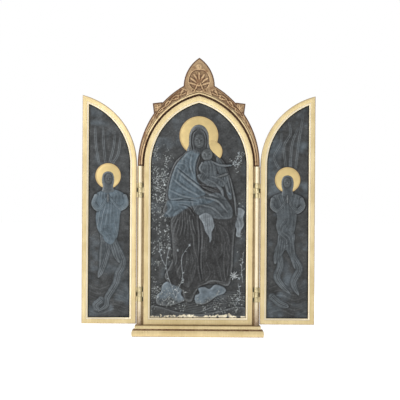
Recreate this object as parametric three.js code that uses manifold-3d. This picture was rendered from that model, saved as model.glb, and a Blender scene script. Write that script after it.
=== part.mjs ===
// Triptych altarpiece: a gilt pointed case on a moulded plinth, with a relief behind its arch, and
// two hinged wings, each half an arch, that close over it.  Millimetres, +Z up, front towards -Y,
// origin under the middle of the plinth, wings lying open.
//
// Every piece is drawn in elevation: x to the right, y upwards, z towards the viewer, with z = 0 at
// the face of the frames.  The elevation group at the end turns that drawing upright.

import * as THREE from 'three';
import { mergeVertices } from 'three/addons/utils/BufferGeometryUtils.js';
import Module from 'manifold-3d';

const wasm = await Module();
wasm.setup();

// ---------------------------------------------------------------- driving dimensions

const GAP = 0.35; // between neighbouring pieces
const FACE_SETOFF = 3; // the face of the frames stands this far in front of the plinth's middle

const PLINTH = { half: 138.5, height: 24, front: 24.5, back: 31, swell: 6.5 };

const SPRING = 376; // height at which every arch of the case springs
const LEAN = 37.5; // the frame's arcs are struck from this far beyond the middle line
const CASE = { half: 120.5, thick: 12, opening: 105.6, sill: 40.5 };
const LIP = { thick: 5, overlap: 3 }; // the frames' lip in front of their rebates
const EDGE = 1.2; // chamfer round the outside of a frame
const COVE = 2.6; // hollow moulding round an opening

const ARCH = { inner: 124, outer: 134.2, lean: 68.2, foot: 374.5, face: 3.8, field: 2.3, fillet: 5 };
const PINNACLE = { half: 34.3, lean: 42.3, spring: 548.7, root: 537 };
const BLOCK = { size: 21, corner: [102, 512], turn: THREE.MathUtils.degToRad(-7) };
const BACK_BOARD = { half: 132.4, lean: 68.2, thick: 10 };

const AXIS = { x: 128.3, z: 0.3 }; // the hinge axes
const BEAD = { inner: 124.3, outer: 132.6, top: 374 };
const HINGE = { heights: [92, 321], length: 32, barrel: 4, bore: 1.6, pin: 1.3 };
const LEAF = { thick: 1.6, near: -1.8, deep: -11, root: 126.2, clear: 123.8 };

const WING = { edge: 0.6, half: 120.5, foot: 27, thick: 14, stile: 14.1, panelThick: 1.65 };

const RELIEF = { back: -12, ground: -6 };
const HALO = { back: -5.65, front: -4.5 };
const ARC_STEPS = 12;

// ---------------------------------------------------------------- materials

function finish(color, metalness, roughness) {
  return () => new THREE.MeshStandardMaterial({ color, metalness, roughness, flatShading: true });
}

const gilding = finish(0xd8c088, 0.6, 0.42);
const wornGilding = finish(0xa5875f, 0.45, 0.55);
const patinatedRelief = finish(0x5d6266, 0.5, 0.5);
const haloGilding = finish(0xe2cb8e, 0.7, 0.35);
const darkWood = finish(0x3b2b1e, 0, 0.75);
const dullBrass = finish(0x85775a, 0.9, 0.45);

// ---------------------------------------------------------------- drawing helpers

const at = (x, y) => new THREE.Vector2(x, y);

function arc(cx, cy, radius, from, to, steps) {
  const points = [];
  for (let i = 0; i <= steps; i += 1) {
    const angle = from + ((to - from) * i) / steps;
    points.push(at(cx + radius * Math.cos(angle), cy + radius * Math.sin(angle)));
  }
  return points;
}

// A pointed arch on straight legs: half its width, how far its centres lean past the middle line.
function archShape(half, lean, floor, spring = SPRING, steps = ARC_STEPS) {
  const radius = half + lean;
  const apex = Math.acos(lean / radius);
  const right = arc(-lean, spring, radius, 0, apex, steps);
  const left = arc(lean, spring, radius, Math.PI - apex, Math.PI, steps).slice(1);
  return new THREE.Shape([at(-half, floor), at(half, floor), ...right, ...left]);
}

// Half of the case's arch, as a closed wing covers it, swung out flat about the hinge axis.
function wingShape(side, edge, half, floor) {
  const radius = half + LEAN;
  const apex = Math.acos((edge + LEAN) / radius);
  const curve = arc(-LEAN, SPRING, radius, 0, apex, ARC_STEPS);
  const closed = [at(edge, floor), at(half, floor), ...curve];
  return new THREE.Shape(closed.map((p) => at(side * (2 * AXIS.x - p.x), p.y)));
}

// A smooth closed outline through a few points.
function blobShape(points, steps = Math.round(points.length * 1.15)) {
  const through = points.map(([x, y]) => new THREE.Vector3(x, y, 0));
  const curve = new THREE.CatmullRomCurve3(through, true, 'centripetal');
  return new THREE.Shape(curve.getPoints(steps).slice(1).map((p) => at(p.x, p.y)));
}

function circleShape(x, y, radius, steps = 28) {
  return new THREE.Shape(arc(x, y, radius, 0, 2 * Math.PI, steps).slice(1));
}

// ---------------------------------------------------------------- solids

function solidOf(geometry) {
  geometry.deleteAttribute('normal');
  geometry.deleteAttribute('uv');
  const merged = mergeVertices(geometry, 1e-4);
  const vertProperties = new Float32Array(merged.attributes.position.array);
  const triVerts = new Uint32Array(merged.index.array);
  return new wasm.Manifold(new wasm.Mesh({ numProp: 3, vertProperties, triVerts }));
}

function geometryOf(solid) {
  const mesh = solid.getMesh();
  const geometry = new THREE.BufferGeometry();
  geometry.setAttribute('position', new THREE.BufferAttribute(mesh.vertProperties, 3));
  geometry.setIndex(new THREE.BufferAttribute(mesh.triVerts, 1));
  geometry.computeVertexNormals();
  return geometry;
}

const join = (solids) => solids.reduce((whole, next) => whole.add(next));

// A flat piece of an outline between two depths.
function slab(shape, back, front, grow = 0) {
  const options = { depth: front - back, bevelEnabled: grow !== 0, bevelSegments: 0 };
  const offset = { bevelThickness: 0, bevelSize: 0, bevelOffset: grow };
  const geometry = new THREE.ExtrudeGeometry(shape, { ...options, ...offset });
  return solidOf(geometry.translate(0, 0, back));
}

// A slab whose front edge is eased by a chamfer or, with more segments, a round.
function easedSlab(shape, back, front, ease, segments = 1) {
  const geometry = new THREE.ExtrudeGeometry(shape, {
    depth: front - back,
    bevelThickness: ease,
    bevelSize: ease,
    bevelOffset: -ease,
    bevelSegments: segments,
  });
  const whole = solidOf(geometry.translate(0, 0, back - ease));
  return whole.trimByPlane([0, 0, 1], back);
}

// The tool that hollows a cove round an opening at depth z.
function coveTool(shape, z, size) {
  const geometry = new THREE.ExtrudeGeometry(shape, {
    depth: size,
    bevelThickness: size,
    bevelSize: size,
    bevelSegments: 2,
  });
  return solidOf(geometry.translate(0, 0, z));
}

function box(x1, x2, y1, y2, z1, z2) {
  const geometry = new THREE.BoxGeometry(Math.abs(x2 - x1), y2 - y1, z2 - z1);
  return solidOf(geometry.translate((x1 + x2) / 2, (y1 + y2) / 2, (z1 + z2) / 2));
}

function rod(x, z, radius, from, to, sides) {
  const geometry = new THREE.CylinderGeometry(radius, radius, to - from, sides);
  return solidOf(geometry.translate(x, (from + to) / 2, z));
}

function dome(x, y, z, across, tall, deep, sides = 8) {
  const geometry = new THREE.SphereGeometry(1, sides, sides - 2).rotateX(Math.PI / 2);
  return solidOf(geometry.scale(across, tall, deep).translate(x, y, z));
}

// A leaf or petal: a long four-sided bud lying on the ground, pointing along its turn.
function leaf(x, y, z, long, wide, high, turn) {
  const geometry = new THREE.OctahedronGeometry(1);
  geometry.scale(long, wide, high).translate(long, 0, 0).rotateZ(turn);
  return solidOf(geometry.translate(x, y, z));
}

// A raised fold, limb or stem along a smooth line: a cylinder laid along it, crest upwards, that
// swells from a share of its width at its ends to its full width in the middle.
function ridge(points, width, height, level, ends = [0.35, 0.35], pace = 20, sides = 4) {
  const line = new THREE.CatmullRomCurve3(points.map(([x, y]) => new THREE.Vector3(x, y, 0)));
  const steps = Math.max(2, Math.round(line.getLength() / pace));
  const geometry = new THREE.CylinderGeometry(1, 1, 1, sides, steps);
  const position = geometry.attributes.position;
  for (let i = 0; i < position.count; i += 1) {
    const t = THREE.MathUtils.clamp(position.getY(i) + 0.5, 0, 1);
    const end = THREE.MathUtils.lerp(ends[0], ends[1], t);
    const swell = end + (1 - end) * Math.sin(Math.PI * t) ** 0.6;
    const p = line.getPointAt(t);
    const along = line.getTangentAt(t);
    const across = position.getX(i) * width * swell;
    const up = position.getZ(i) * height * swell;
    position.setXYZ(i, p.x + along.y * across, p.y - along.x * across, level + up);
  }
  return solidOf(geometry);
}

// ---------------------------------------------------------------- plinth

// The moulded edge from the ground up: a swelling torus, a quirk and a plain fillet.
function plinthEdge(face) {
  const points = [];
  const torus = { x: 4.1, y: 7, wide: PLINTH.swell - 4.1, tall: 7.6 };
  for (const degrees of [-67, -45, -20, 0, 20, 45, 62, 75]) {
    const angle = THREE.MathUtils.degToRad(degrees);
    const y = Math.max(0, torus.y + torus.tall * Math.sin(angle));
    points.push(at(face + torus.x + torus.wide * Math.cos(angle), y));
  }
  const quirk = [at(face - 0.8, 15), at(face - 0.8, 16.8), at(face, 17.2)];
  return [...points, ...quirk, at(face, PLINTH.height - 0.8), at(face - 0.8, PLINTH.height)];
}

// Two straight mouldings crossing give the mitred corners.
function plinth() {
  const front = [...plinthEdge(PLINTH.front), at(-PLINTH.back, PLINTH.height), at(-PLINTH.back, 0)];
  const right = plinthEdge(PLINTH.half);
  const left = right.map((p) => at(-p.x, p.y)).reverse();
  const span = 2 * (PLINTH.half + PLINTH.swell + 1);
  const along = new THREE.ExtrudeGeometry(new THREE.Shape(front), { depth: span, bevelEnabled: false });
  along.translate(0, 0, -span / 2).rotateY(-Math.PI / 2);
  const through = new THREE.ExtrudeGeometry(new THREE.Shape([...right, ...left]), {
    depth: span,
    bevelEnabled: false,
  });
  through.translate(0, 0, -span / 2);
  const both = solidOf(along).intersect(solidOf(through));
  return both.translate([0, 0, -FACE_SETOFF]);
}

// ---------------------------------------------------------------- frames and boards

function frame(outer, opening, rebate, thick) {
  const through = slab(opening, -thick - 1, 1);
  const behind = slab(rebate, -thick - 1, -LIP.thick);
  return easedSlab(outer, -thick, 0, EDGE)
    .subtract(through)
    .subtract(behind)
    .subtract(coveTool(opening, 0, COVE));
}

function leafPocket(side, face, into, height) {
  const half = HINGE.length / 2 + GAP;
  const depth = LEAF.thick + GAP;
  const x1 = side * (face - into);
  const x2 = side * (face + into * depth);
  return box(x1, x2, height - half, height + half, LEAF.deep - GAP, LEAF.near + GAP);
}

function innerFrame() {
  const outer = archShape(CASE.half, LEAN, PLINTH.height + GAP);
  const opening = archShape(CASE.opening, LEAN, CASE.sill);
  const rebate = archShape(CASE.opening + LIP.overlap, LEAN, CASE.sill - LIP.overlap);
  let body = frame(outer, opening, rebate, CASE.thick);
  for (const side of [-1, 1]) {
    for (const height of HINGE.heights) {
      body = body.subtract(leafPocket(side, CASE.half, -1, height));
    }
  }
  return body;
}

function wingFrame(side) {
  const inset = WING.stile;
  const outer = wingShape(side, WING.edge, WING.half, WING.foot);
  const sill = WING.foot + inset - 0.6;
  const opening = wingShape(side, WING.edge + inset - 0.5, WING.half - inset, sill);
  const lap = inset - LIP.overlap;
  const rebate = wingShape(side, WING.edge + lap - 0.5, WING.half - lap, sill - LIP.overlap);
  let body = frame(outer, opening, rebate, WING.thick);
  for (const height of HINGE.heights) {
    body = body.subtract(leafPocket(side, 2 * AXIS.x - WING.half, 1, height));
  }
  return body;
}

// What fills a wing's rebate, drawn inside it by the gap.
function wingFilling(side) {
  const lap = WING.stile - LIP.overlap + GAP;
  const sill = WING.foot + WING.stile - 0.6 - LIP.overlap + GAP;
  return wingShape(side, WING.edge + lap - 0.5, WING.half - lap, sill);
}

function wingBack(side) {
  return slab(wingFilling(side), -WING.thick, -WING.thick + WING.panelThick);
}

function backBoard() {
  const outline = archShape(BACK_BOARD.half, BACK_BOARD.lean, PLINTH.height + GAP);
  const front = -CASE.thick - GAP;
  return slab(outline, front - BACK_BOARD.thick, front);
}

// A round-fronted strip beside the frame, cut back where the hinge barrels take its place.
function hingeBead(side) {
  const middle = (BEAD.inner + BEAD.outer) / 2;
  const radius = (BEAD.outer - BEAD.inner) / 2;
  const crown = arc(middle, 0.15, radius, 0, Math.PI, 6);
  const section = [at(BEAD.inner, -CASE.thick), at(BEAD.outer, -CASE.thick), ...crown];
  const shape = new THREE.Shape(section.map((p) => at(side * p.x, -p.y)));
  const foot = PLINTH.height + GAP;
  const strip = new THREE.ExtrudeGeometry(shape, { depth: BEAD.top - foot, bevelEnabled: false });
  let body = solidOf(strip.rotateX(-Math.PI / 2).translate(0, foot, 0));
  const half = HINGE.length / 2 + 0.5;
  const seat = AXIS.z - HINGE.barrel - 0.6;
  for (const height of HINGE.heights) {
    const x1 = side * (BEAD.inner - 1);
    const x2 = side * (BEAD.outer + 1);
    body = body.subtract(box(x1, x2, height - half, height + half, seat, 10));
  }
  return body;
}

// ---------------------------------------------------------------- hinges

// One leaf: a plate let into an edge, a web across the gap and its knuckles round the pin.
// into is -1 for the leaf on the case and 1 for the leaf on the wing.
function hingeLeaf(side, height, into, spans) {
  const mirror = (x) => side * (AXIS.x + into * (AXIS.x - x));
  const half = HINGE.length / 2;
  const web = [LEAF.near - LEAF.thick, LEAF.near];
  const plate = [mirror(CASE.half - LEAF.thick), mirror(CASE.half)];
  const parts = [
    box(...plate, height - half, height + half, LEAF.deep, LEAF.near),
    box(plate[0], mirror(LEAF.clear), height - half, height + half, ...web),
  ];
  for (const [from, to] of spans) {
    const low = height + from;
    const high = height + to;
    const barrel = rod(side * AXIS.x, AXIS.z, HINGE.barrel, low, high, 8);
    const bore = rod(side * AXIS.x, AXIS.z, HINGE.bore, low - 1, high + 1, 6);
    const reach = box(plate[1], mirror(LEAF.root), low, high, ...web);
    parts.push(barrel.add(reach).subtract(bore));
  }
  return join(parts);
}

function hingePin(side, height) {
  const half = HINGE.length / 2 + 0.3;
  return rod(side * AXIS.x, AXIS.z, HINGE.pin, height - half, height + half, 6);
}

const knuckle = HINGE.length / 3;
const CASE_KNUCKLES = [
  [-HINGE.length / 2, -knuckle / 2 - 0.2],
  [knuckle / 2 + 0.2, HINGE.length / 2],
];
const WING_KNUCKLES = [[-knuckle / 2 + 0.2, knuckle / 2 - 0.2]];

// ---------------------------------------------------------------- outer arch

function blockShape(side, inset = 0) {
  const half = BLOCK.size / 2;
  const reach = half - inset;
  const [cx, cy] = BLOCK.corner;
  const turned = [[1, 1], [-1, 1], [-1, -1], [1, -1]].map(([sx, sy]) => {
    const p = at(sx * reach - half, sy * reach - half).rotateAround(at(0, 0), BLOCK.turn);
    return at(side * (cx + p.x), cy + p.y);
  });
  return new THREE.Shape(turned);
}

// A point of the carved field: t runs up along it, s across it from the inner to the outer side.
function bandPoint(side, t, s) {
  const inner = ARCH.inner + LEAN + 5.2;
  const outer = ARCH.outer + ARCH.lean - 3.6;
  const a = THREE.MathUtils.lerp(0.45, 1.22, t);
  const b = THREE.MathUtils.lerp(0.38, 1.05, t);
  const near = at(-LEAN + inner * Math.cos(a), SPRING + inner * Math.sin(a));
  const far = at(-ARCH.lean + outer * Math.cos(b), SPRING + outer * Math.sin(b));
  const p = near.lerp(far, (s + 1) / 2);
  return [side * p.x, p.y];
}

// The sunk field, pointed at its foot and round at its top.
function bandField(side) {
  const steps = 12;
  const edge = [];
  for (let i = 0; i <= steps; i += 1) {
    const t = i / steps;
    const spread = Math.min(1, 3 * t, Math.sqrt(Math.max(0, 1 - t) * 14));
    edge.push([t, spread]);
  }
  const near = edge.map(([t, spread]) => bandPoint(side, t, -spread));
  const far = edge.slice(1, -1).reverse().map(([t, spread]) => bandPoint(side, t, spread));
  return new THREE.Shape([...near, ...far].map(([x, y]) => at(x, y)));
}

// A winding stem with a curled leaf in each of its bends.
function bandScroll(side) {
  const waves = 3;
  const stem = [];
  for (let i = 1; i <= waves * 4; i += 1) {
    const t = i / (waves * 4 + 0.6);
    stem.push(bandPoint(side, t, 0.45 * Math.sin(2 * Math.PI * waves * t)));
  }
  const parts = [ridge(stem, 1.2, 1.9, ARCH.field, [0.5, 0.9], 13)];
  for (let i = 1; i < 2 * waves; i += 1) {
    const bend = i % 2 ? -1 : 1;
    const t = (i + 0.5) / (2 * waves);
    const curl = [[-0.07, 0.3], [-0.01, -0.4], [0.045, -0.6], [0.06, -0.1]];
    const line = curl.map(([along, across]) => bandPoint(side, t + along, bend * across));
    parts.push(ridge(line, 1.0 + 1.3 * t, 2.0, ARCH.field, [0.4, 0.9], 12));
  }
  return join(parts);
}

function rosette(x, y, level, size, petals) {
  const parts = [dome(x, y, level, size * 0.3, size * 0.3, 1.5, 6)];
  for (let i = 0; i < petals; i += 1) {
    const turn = ((i + 0.5) * 2 * Math.PI) / petals;
    parts.push(leaf(x, y, level, size / 2, size * 0.28, 1.2, turn));
  }
  return join(parts);
}

const PALMETTE = { root: 549, boss: 593, petal: 25, spread: 0.47, each: 3 };
const PALMETTE_FIELD = [[0, 584], [15, 580], [25, 565], [20, 549], [8, 540], [-8, 540], [-20, 549],
  [-25, 565], [-15, 580]];

// A palmette: petals fanned about a root, a boss above them and a three-cornered foot below.
function palmette() {
  const { root, each } = PALMETTE;
  const parts = [dome(0, PALMETTE.boss, ARCH.face - 0.6, 6.4, 6.4, 2)];
  for (let i = -each; i <= each; i += 1) {
    const turn = Math.PI / 2 + i * PALMETTE.spread;
    const reach = PALMETTE.petal * (1 - 0.05 * Math.abs(i));
    const tip = [reach * Math.cos(turn), root + 5 + reach * Math.sin(turn)];
    const middle = [tip[0] * 0.45, root + (tip[1] - root) * 0.6];
    parts.push(ridge([[0, root], middle, tip], 2.9, 2.3, ARCH.field, [0.3, 0.85], 13));
  }
  const foot = new THREE.Shape([at(-12, 538), at(12, 538), at(0, 558)]);
  parts.push(easedSlab(foot, 0, ARCH.face + 0.8, 1.4));
  return join(parts);
}

function outerArch() {
  const below = ARCH.foot - 10;
  const inner = archShape(ARCH.inner, LEAN, below - 5);
  const outer = archShape(ARCH.outer, ARCH.lean, below);
  const fillet = archShape(ARCH.inner + 3.4, LEAN, below);
  const crest = archShape(PINNACLE.half, PINNACLE.lean, PINNACLE.root, PINNACLE.spring, 8);
  let band = easedSlab(outer, -CASE.thick, ARCH.face, 0.9);
  band = band.add(easedSlab(crest, -CASE.thick, ARCH.face, 0.9));
  const carving = [easedSlab(fillet, 0, ARCH.fillet, 1.6)];
  for (const side of [-1, 1]) {
    const [cx, cy] = BLOCK.corner;
    const middle = at(cx - BLOCK.size / 2, cy - BLOCK.size / 2);
    middle.rotateAround(at(cx, cy), BLOCK.turn);
    band = band.add(easedSlab(blockShape(side), -CASE.thick, ARCH.face, 0.9));
    band = band.subtract(slab(bandField(side), ARCH.field, 20));
    carving.push(bandScroll(side), rosette(side * middle.x, middle.y, ARCH.face - 0.3, 7, 5));
  }
  band = band.subtract(slab(blobShape(PALMETTE_FIELD), ARCH.field, 20));
  const whole = band.add(join(carving)).subtract(slab(inner, -20, 20));
  return whole.trimByPlane([0, 1, 0], ARCH.foot).add(palmette());
}

// ---------------------------------------------------------------- central relief

// Masses of the seated Mother and Child: an outline, how far forward it stands, and its roundness.
const CENTRE_MASSES = {
  bank: [[[-107, 36], [-107, 66], [-80, 64], [-44, 54], [0, 49], [44, 56], [84, 66], [107, 62], [107, 36]],
    -4.6, 0.8],
  leftRock: [[[-92, 74], [-90, 102], [-74, 121], [-50, 118], [-34, 106], [-28, 84], [-52, 68]], -3.6, 1.6],
  rightRock: [[[-6, 74], [-8, 98], [8, 111], [36, 115], [60, 110], [68, 90], [44, 76], [18, 70]], -3.8, 1.4],
  cloak: [[[-14, 424], [-31, 404], [-52, 384], [-65, 352], [-72, 318], [-72, 296], [-79, 274], [-66, 264],
    [-54, 236], [-52, 196], [-60, 160], [-74, 132], [-58, 112], [-36, 100], [-30, 80], [-14, 76], [-4, 96],
    [10, 112], [40, 116], [68, 112], [76, 150], [78, 196], [82, 240], [88, 276], [80, 316], [70, 350],
    [58, 382], [38, 402], [16, 420]], -3.9, 1.6],
  cloakCorner: [[[80, 284], [78, 250], [84, 222], [92, 220], [100, 248], [101, 276], [92, 284]], -4.4, 1.0],
  shawl: [[[-12, 416], [-32, 400], [-52, 376], [-64, 342], [-68, 306], [-54, 296], [-28, 302], [-4, 300],
    [18, 312], [6, 330], [-4, 352], [-2, 384], [4, 406]], -2.4, 2.0],
  farSleeve: [[[40, 398], [60, 372], [70, 340], [76, 306], [66, 300], [56, 324], [46, 350], [36, 376]],
    -2.9, 1.4],
  lap: [[[-20, 310], [14, 314], [46, 318], [66, 300], [78, 276], [72, 258], [44, 256], [16, 262], [-8, 270]],
    -2.6, 1.6],
  knee: [[[-58, 210], [-62, 246], [-58, 270], [-40, 284], [-20, 276], [-6, 250], [0, 214], [2, 170],
    [-4, 130], [-20, 104], [-40, 116], [-54, 150]], -2.2, 2.4],
  skirt: [[[10, 262], [40, 254], [64, 238], [74, 206], [72, 160], [64, 120], [36, 118], [12, 120],
    [6, 160], [4, 214]], -3.1, 1.6],
  hangingCloth: [[[2, 266], [10, 244], [20, 222], [26, 206], [32, 214], [36, 240], [32, 266], [16, 274]],
    -1.7, 1.1],
  child: [[[-2, 352], [0, 376], [16, 388], [38, 388], [56, 376], [60, 354], [70, 336], [62, 322], [40, 326],
    [16, 334]], -1.7, 1.8],
  hood: [[[0, 467], [-14, 461], [-22, 444], [-23, 422], [-27, 406], [-8, 400], [10, 400], [26, 408],
    [23, 426], [22, 446], [14, 461]], -2.6, 1.8],
};

// Folds and limbs: a line, half its width, its height and the level that it lies on.
const CENTRE_FOLDS = [
  [[[-44, 366], [-14, 342], [16, 320], [44, 308]], 3.0, 1.9, -3.2],
  [[[-52, 340], [-28, 322], [0, 308]], 2.4, 1.5, -2.9],
  [[[-58, 322], [-34, 310], [-8, 304]], 2.2, 1.4, -2.9],
  [[[-30, 396], [-38, 366], [-34, 336]], 2.4, 1.4, -2.9],
  [[[-16, 404], [-20, 376], [-12, 350]], 2.2, 1.3, -2.8],
  [[[-46, 262], [-48, 216], [-44, 170], [-52, 132]], 2.2, 1.4, -2.9],
  [[[-30, 272], [-30, 220], [-26, 168], [-30, 116]], 2.4, 1.4, -2.7],
  [[[-12, 256], [-10, 206], [-10, 150], [-20, 112]], 2.2, 1.4, -2.8],
  [[[14, 306], [40, 300], [62, 276]], 2.4, 1.4, -2.9],
  [[[4, 292], [32, 284], [54, 262]], 2.4, 1.4, -2.9],
  [[[22, 250], [20, 200], [26, 150], [20, 124]], 2.2, 1.3, -3.5],
  [[[44, 246], [46, 196], [44, 150], [48, 124]], 2.2, 1.3, -3.5],
  [[[62, 232], [64, 190], [58, 150], [62, 124]], 2.0, 1.2, -3.6],
  [[[70, 344], [78, 306], [82, 268]], 2.2, 1.2, -4.1],
  [[[18, 262], [24, 236], [27, 212]], 2.0, 1.0, -2.0],
];

// The Child's limbs and the hands, a little prouder than the folds.
const CENTRE_LIMBS = [
  [[[40, 378], [56, 374], [70, 375]], 4.2, 2.2, -2.6],
  [[[6, 380], [12, 366], [24, 358]], 4.0, 2.0, -2.6],
  [[[30, 338], [48, 334], [60, 326], [66, 316]], 5.2, 2.4, -2.8],
  [[[16, 336], [28, 326], [44, 320]], 4.8, 2.2, -3.0],
  [[[60, 352], [46, 346], [34, 344]], 4.0, 2.4, -2.4],
];

// Stems of the thicket, each bearing leaves along it.
const CENTRE_STEMS = [
  [[[-48, 80], [-56, 104], [-70, 150], [-64, 196]], 4],
  [[[-48, 80], [-44, 104], [-34, 128], [-36, 172], [-20, 200]], 4],
  [[[-96, 70], [-98, 140], [-88, 200], [-94, 270]], 6],
  [[[-94, 200], [-84, 270], [-92, 330], [-84, 388]], 6],
  [[[72, 376], [82, 386], [90, 406]], 3],
  [[[98, 120], [96, 150], [100, 184]], 3],
];

const MOTHER_HALO = [0, 441.5, 43];
const CHILD_HALO = [28.2, 407, 24];
const MOTHER_HEAD = [1, 430, -3.6, 12.5, 17.5, 2.9];
const CHILD_HEAD = [18, 400, -3.4, 12.5, 13.5, 2.8];

// A calm, plain face: brow line, nose and mouth set at the usual thirds of its height.
function faceFeatures([x, y, z, across, tall, deep], turn) {
  const top = z + deep;
  const nose = [[x, y + tall * 0.18], [x + turn, y - tall * 0.18]];
  const brow = [[x - across * 0.5, y + tall * 0.22], [x, y + tall * 0.16], [x + across * 0.5, y + tall * 0.22]];
  const mouth = [[x - across * 0.22, y - tall * 0.42], [x + across * 0.22, y - tall * 0.42]];
  return [
    ridge(nose, across * 0.13, 1.0, top - 0.9, [0.5, 1]),
    ridge(brow, across * 0.09, 0.9, top - 1.2),
    ridge(mouth, across * 0.08, 0.7, top - 1.2),
  ];
}

function stemWithLeaves([points, leaves], level) {
  const line = new THREE.CatmullRomCurve3(points.map(([x, y]) => new THREE.Vector3(x, y, 0)));
  const parts = [ridge(points, 0.9, 1.1, level, [0.8, 0.4], 30)];
  for (let i = 0; i < leaves; i += 1) {
    const t = (i + 1) / (leaves + 0.5);
    const p = line.getPointAt(t);
    const along = line.getTangentAt(t);
    const turn = Math.atan2(along.y, along.x) + (i % 2 ? 0.8 : -0.8);
    parts.push(leaf(p.x, p.y, level, 4.6, 2.2, 1.5, turn));
  }
  return join(parts);
}

function starPlant(x, y, level) {
  const parts = [];
  for (let i = 0; i < 6; i += 1) {
    const turn = (i * Math.PI) / 3 + 0.2;
    parts.push(leaf(x, y, level, 5.2, 1.5, 1.5, turn));
  }
  return join(parts);
}

const massSolid = ([points, front, round]) => easedSlab(blobShape(points), -8, front, round);
const massCutter = ([points]) => slab(blobShape(points), -9, 9, GAP);
const headCutter = ([x, y, , across, tall]) => {
  const outline = new THREE.Shape();
  outline.absellipse(x, y, across + GAP, tall + GAP, 0, 2 * Math.PI);
  return slab(outline, -9, 9);
};

function centralRelief() {
  const outline = archShape(CASE.opening + LIP.overlap - GAP, LEAN, CASE.sill - LIP.overlap + GAP);
  const ground = slab(outline, RELIEF.back, RELIEF.ground);
  const lines = [...CENTRE_FOLDS, ...CENTRE_LIMBS].map((line) => ridge(...line));
  const masses = Object.values(CENTRE_MASSES).map(massSolid);
  const heads = [MOTHER_HEAD, CHILD_HEAD].map((head) => dome(...head));
  const faces = [...faceFeatures(MOTHER_HEAD, 0.6), ...faceFeatures(CHILD_HEAD, -0.6)];
  const plants = CENTRE_STEMS.map((stem) => stemWithLeaves(stem, RELIEF.ground + 0.3));
  plants.push(starPlant(80, 134, RELIEF.ground + 0.4));
  const inside = archShape(CASE.opening - 1, LEAN, CASE.sill + 1);
  const raised = join([...masses, ...lines, ...heads, ...faces, ...plants]);
  return ground.add(raised.intersect(slab(inside, -8, 4)));
}

function centralHalo([x, y, radius], others) {
  const disc = easedSlab(circleShape(x, y, radius), HALO.back, HALO.front, 0.5);
  const cutters = [...Object.values(CENTRE_MASSES).map(massCutter), headCutter(CHILD_HEAD), ...others];
  return disc.subtract(join(cutters));
}

// ---------------------------------------------------------------- wing reliefs

// Each angel's axis and halo height, and the way its train winds to the ground.  Distances across
// are measured from the axis, away from the hinge.
const ANGELS = {
  left: {
    side: -1,
    axis: 199.3,
    halo: 351.8,
    trains: [
      [[-12, 212], [-34, 164], [-24, 138], [-18, 114], [0, 84], [3, 66], [20, 54]],
      [[-4, 206], [8, 160], [20, 128]],
      [[14, 78], [26, 66], [18, 56]],
    ],
    pinions: [
      [[20, 380], [27, 420], [29, 462]],
      [[6, 382], [10, 420], [12, 460]],
      [[-4, 384], [-12, 416], [-15, 446]],
      [[-10, 380], [-22, 400], [-27, 438]],
    ],
  },
  right: {
    side: 1,
    axis: 195.8,
    halo: 345.4,
    trains: [
      [[-6, 212], [-20, 190], [-14, 158], [-22, 132], [-10, 112], [6, 96]],
      [[0, 204], [16, 172], [27, 148], [14, 120], [26, 92]],
      [[-32, 88], [-16, 74], [4, 66]],
    ],
    pinions: [
      [[-20, 372], [-30, 396], [-16, 424], [-14, 450]],
      [[-4, 376], [-8, 420], [6, 446], [2, 474]],
      [[6, 376], [10, 426], [24, 462]],
      [[18, 372], [24, 426], [34, 490]],
    ],
  },
};

const ROBE = [[0, 322], [-14, 319], [-30, 306], [-35, 290], [-27, 278], [-24, 258], [-21, 236],
  [-15, 214], [-6, 202], [6, 204], [14, 216], [20, 238], [23, 262], [28, 282], [34, 296], [28, 310], [14, 319]];
const HAIR = [[0, 20], [-12, 14], [-15, 0], [-15, -16], [-10, -26], [0, -28], [10, -26], [15, -16],
  [15, 0], [12, 14]];
const ROBE_FOLDS = [
  [[-14, 276], [-12, 244], [-6, 210]],
  [[0, 278], [0, 244], [0, 208]],
  [[14, 276], [12, 244], [6, 212]],
];
const SLEEVES = [
  [[-28, 304], [-24, 286], [-12, 284], [-2, 296]],
  [[28, 304], [24, 286], [12, 284], [2, 296]],
];

function angelRelief(angel) {
  const { side, axis, halo } = angel;
  const place = (points) => points.map(([x, y]) => [side * (axis + x), y]);
  const around = (points, y) => points.map(([x, up]) => [side * (axis + x), y + up]);
  const head = [side * axis, halo - 4, -3.8, 10.5, 13.5, 2.9];
  const masses = [
    [place(ROBE), -2.9, 1.8],
    [around(HAIR, halo - 5), -3.8, 1.6],
    [place([[-42, 46], [-42, 78], [-20, 66], [4, 58], [26, 66], [44, 72], [44, 46]]), -4.5, 1],
  ];
  const lines = [
    ...ROBE_FOLDS.map((line) => ridge(place(line), 2.2, 1.4, -3.4)),
    ...SLEEVES.map((line) => ridge(place(line), 5.4, 2.2, -3.6, [0.7, 0.5], 12, 6)),
    ridge(place([[0, 290], [0, 308]]), 3, 1.8, -3.0),
    ...angel.trains.map((line) => ridge(place(line), 6, 2.6, -5.6, [0.9, 0.35], 17)),
    ...angel.pinions.map((line) => ridge(place(line), 4.6, 2.2, -5.8, [0.8, 0.25], 24)),
  ];
  const solids = [...masses.map(massSolid), ...lines, dome(...head), ...faceFeatures(head, 0)];
  const ground = slab(wingFilling(side), RELIEF.back, RELIEF.ground);
  const inset = WING.stile + 1;
  const inside = wingShape(side, WING.edge + inset, WING.half - inset, WING.foot + inset);
  const haloRoom = slab(circleShape(side * axis, halo, 28.3 + GAP), -9, RELIEF.ground + 2.1);
  const behindHalo = join(lines.slice(-angel.pinions.length)).intersect(haloRoom);
  const raised = join(solids).intersect(slab(inside, -8, 4)).subtract(behindHalo);
  return { body: ground.add(raised), masses, head };
}

function angelHalo(angel, masses, head) {
  const { side, axis, halo } = angel;
  const disc = easedSlab(circleShape(side * axis, halo, 28.3), HALO.back, HALO.front, 0.5);
  return disc.subtract(join([...masses.map(massCutter), headCutter(head)]));
}

// ---------------------------------------------------------------- assembly

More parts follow.
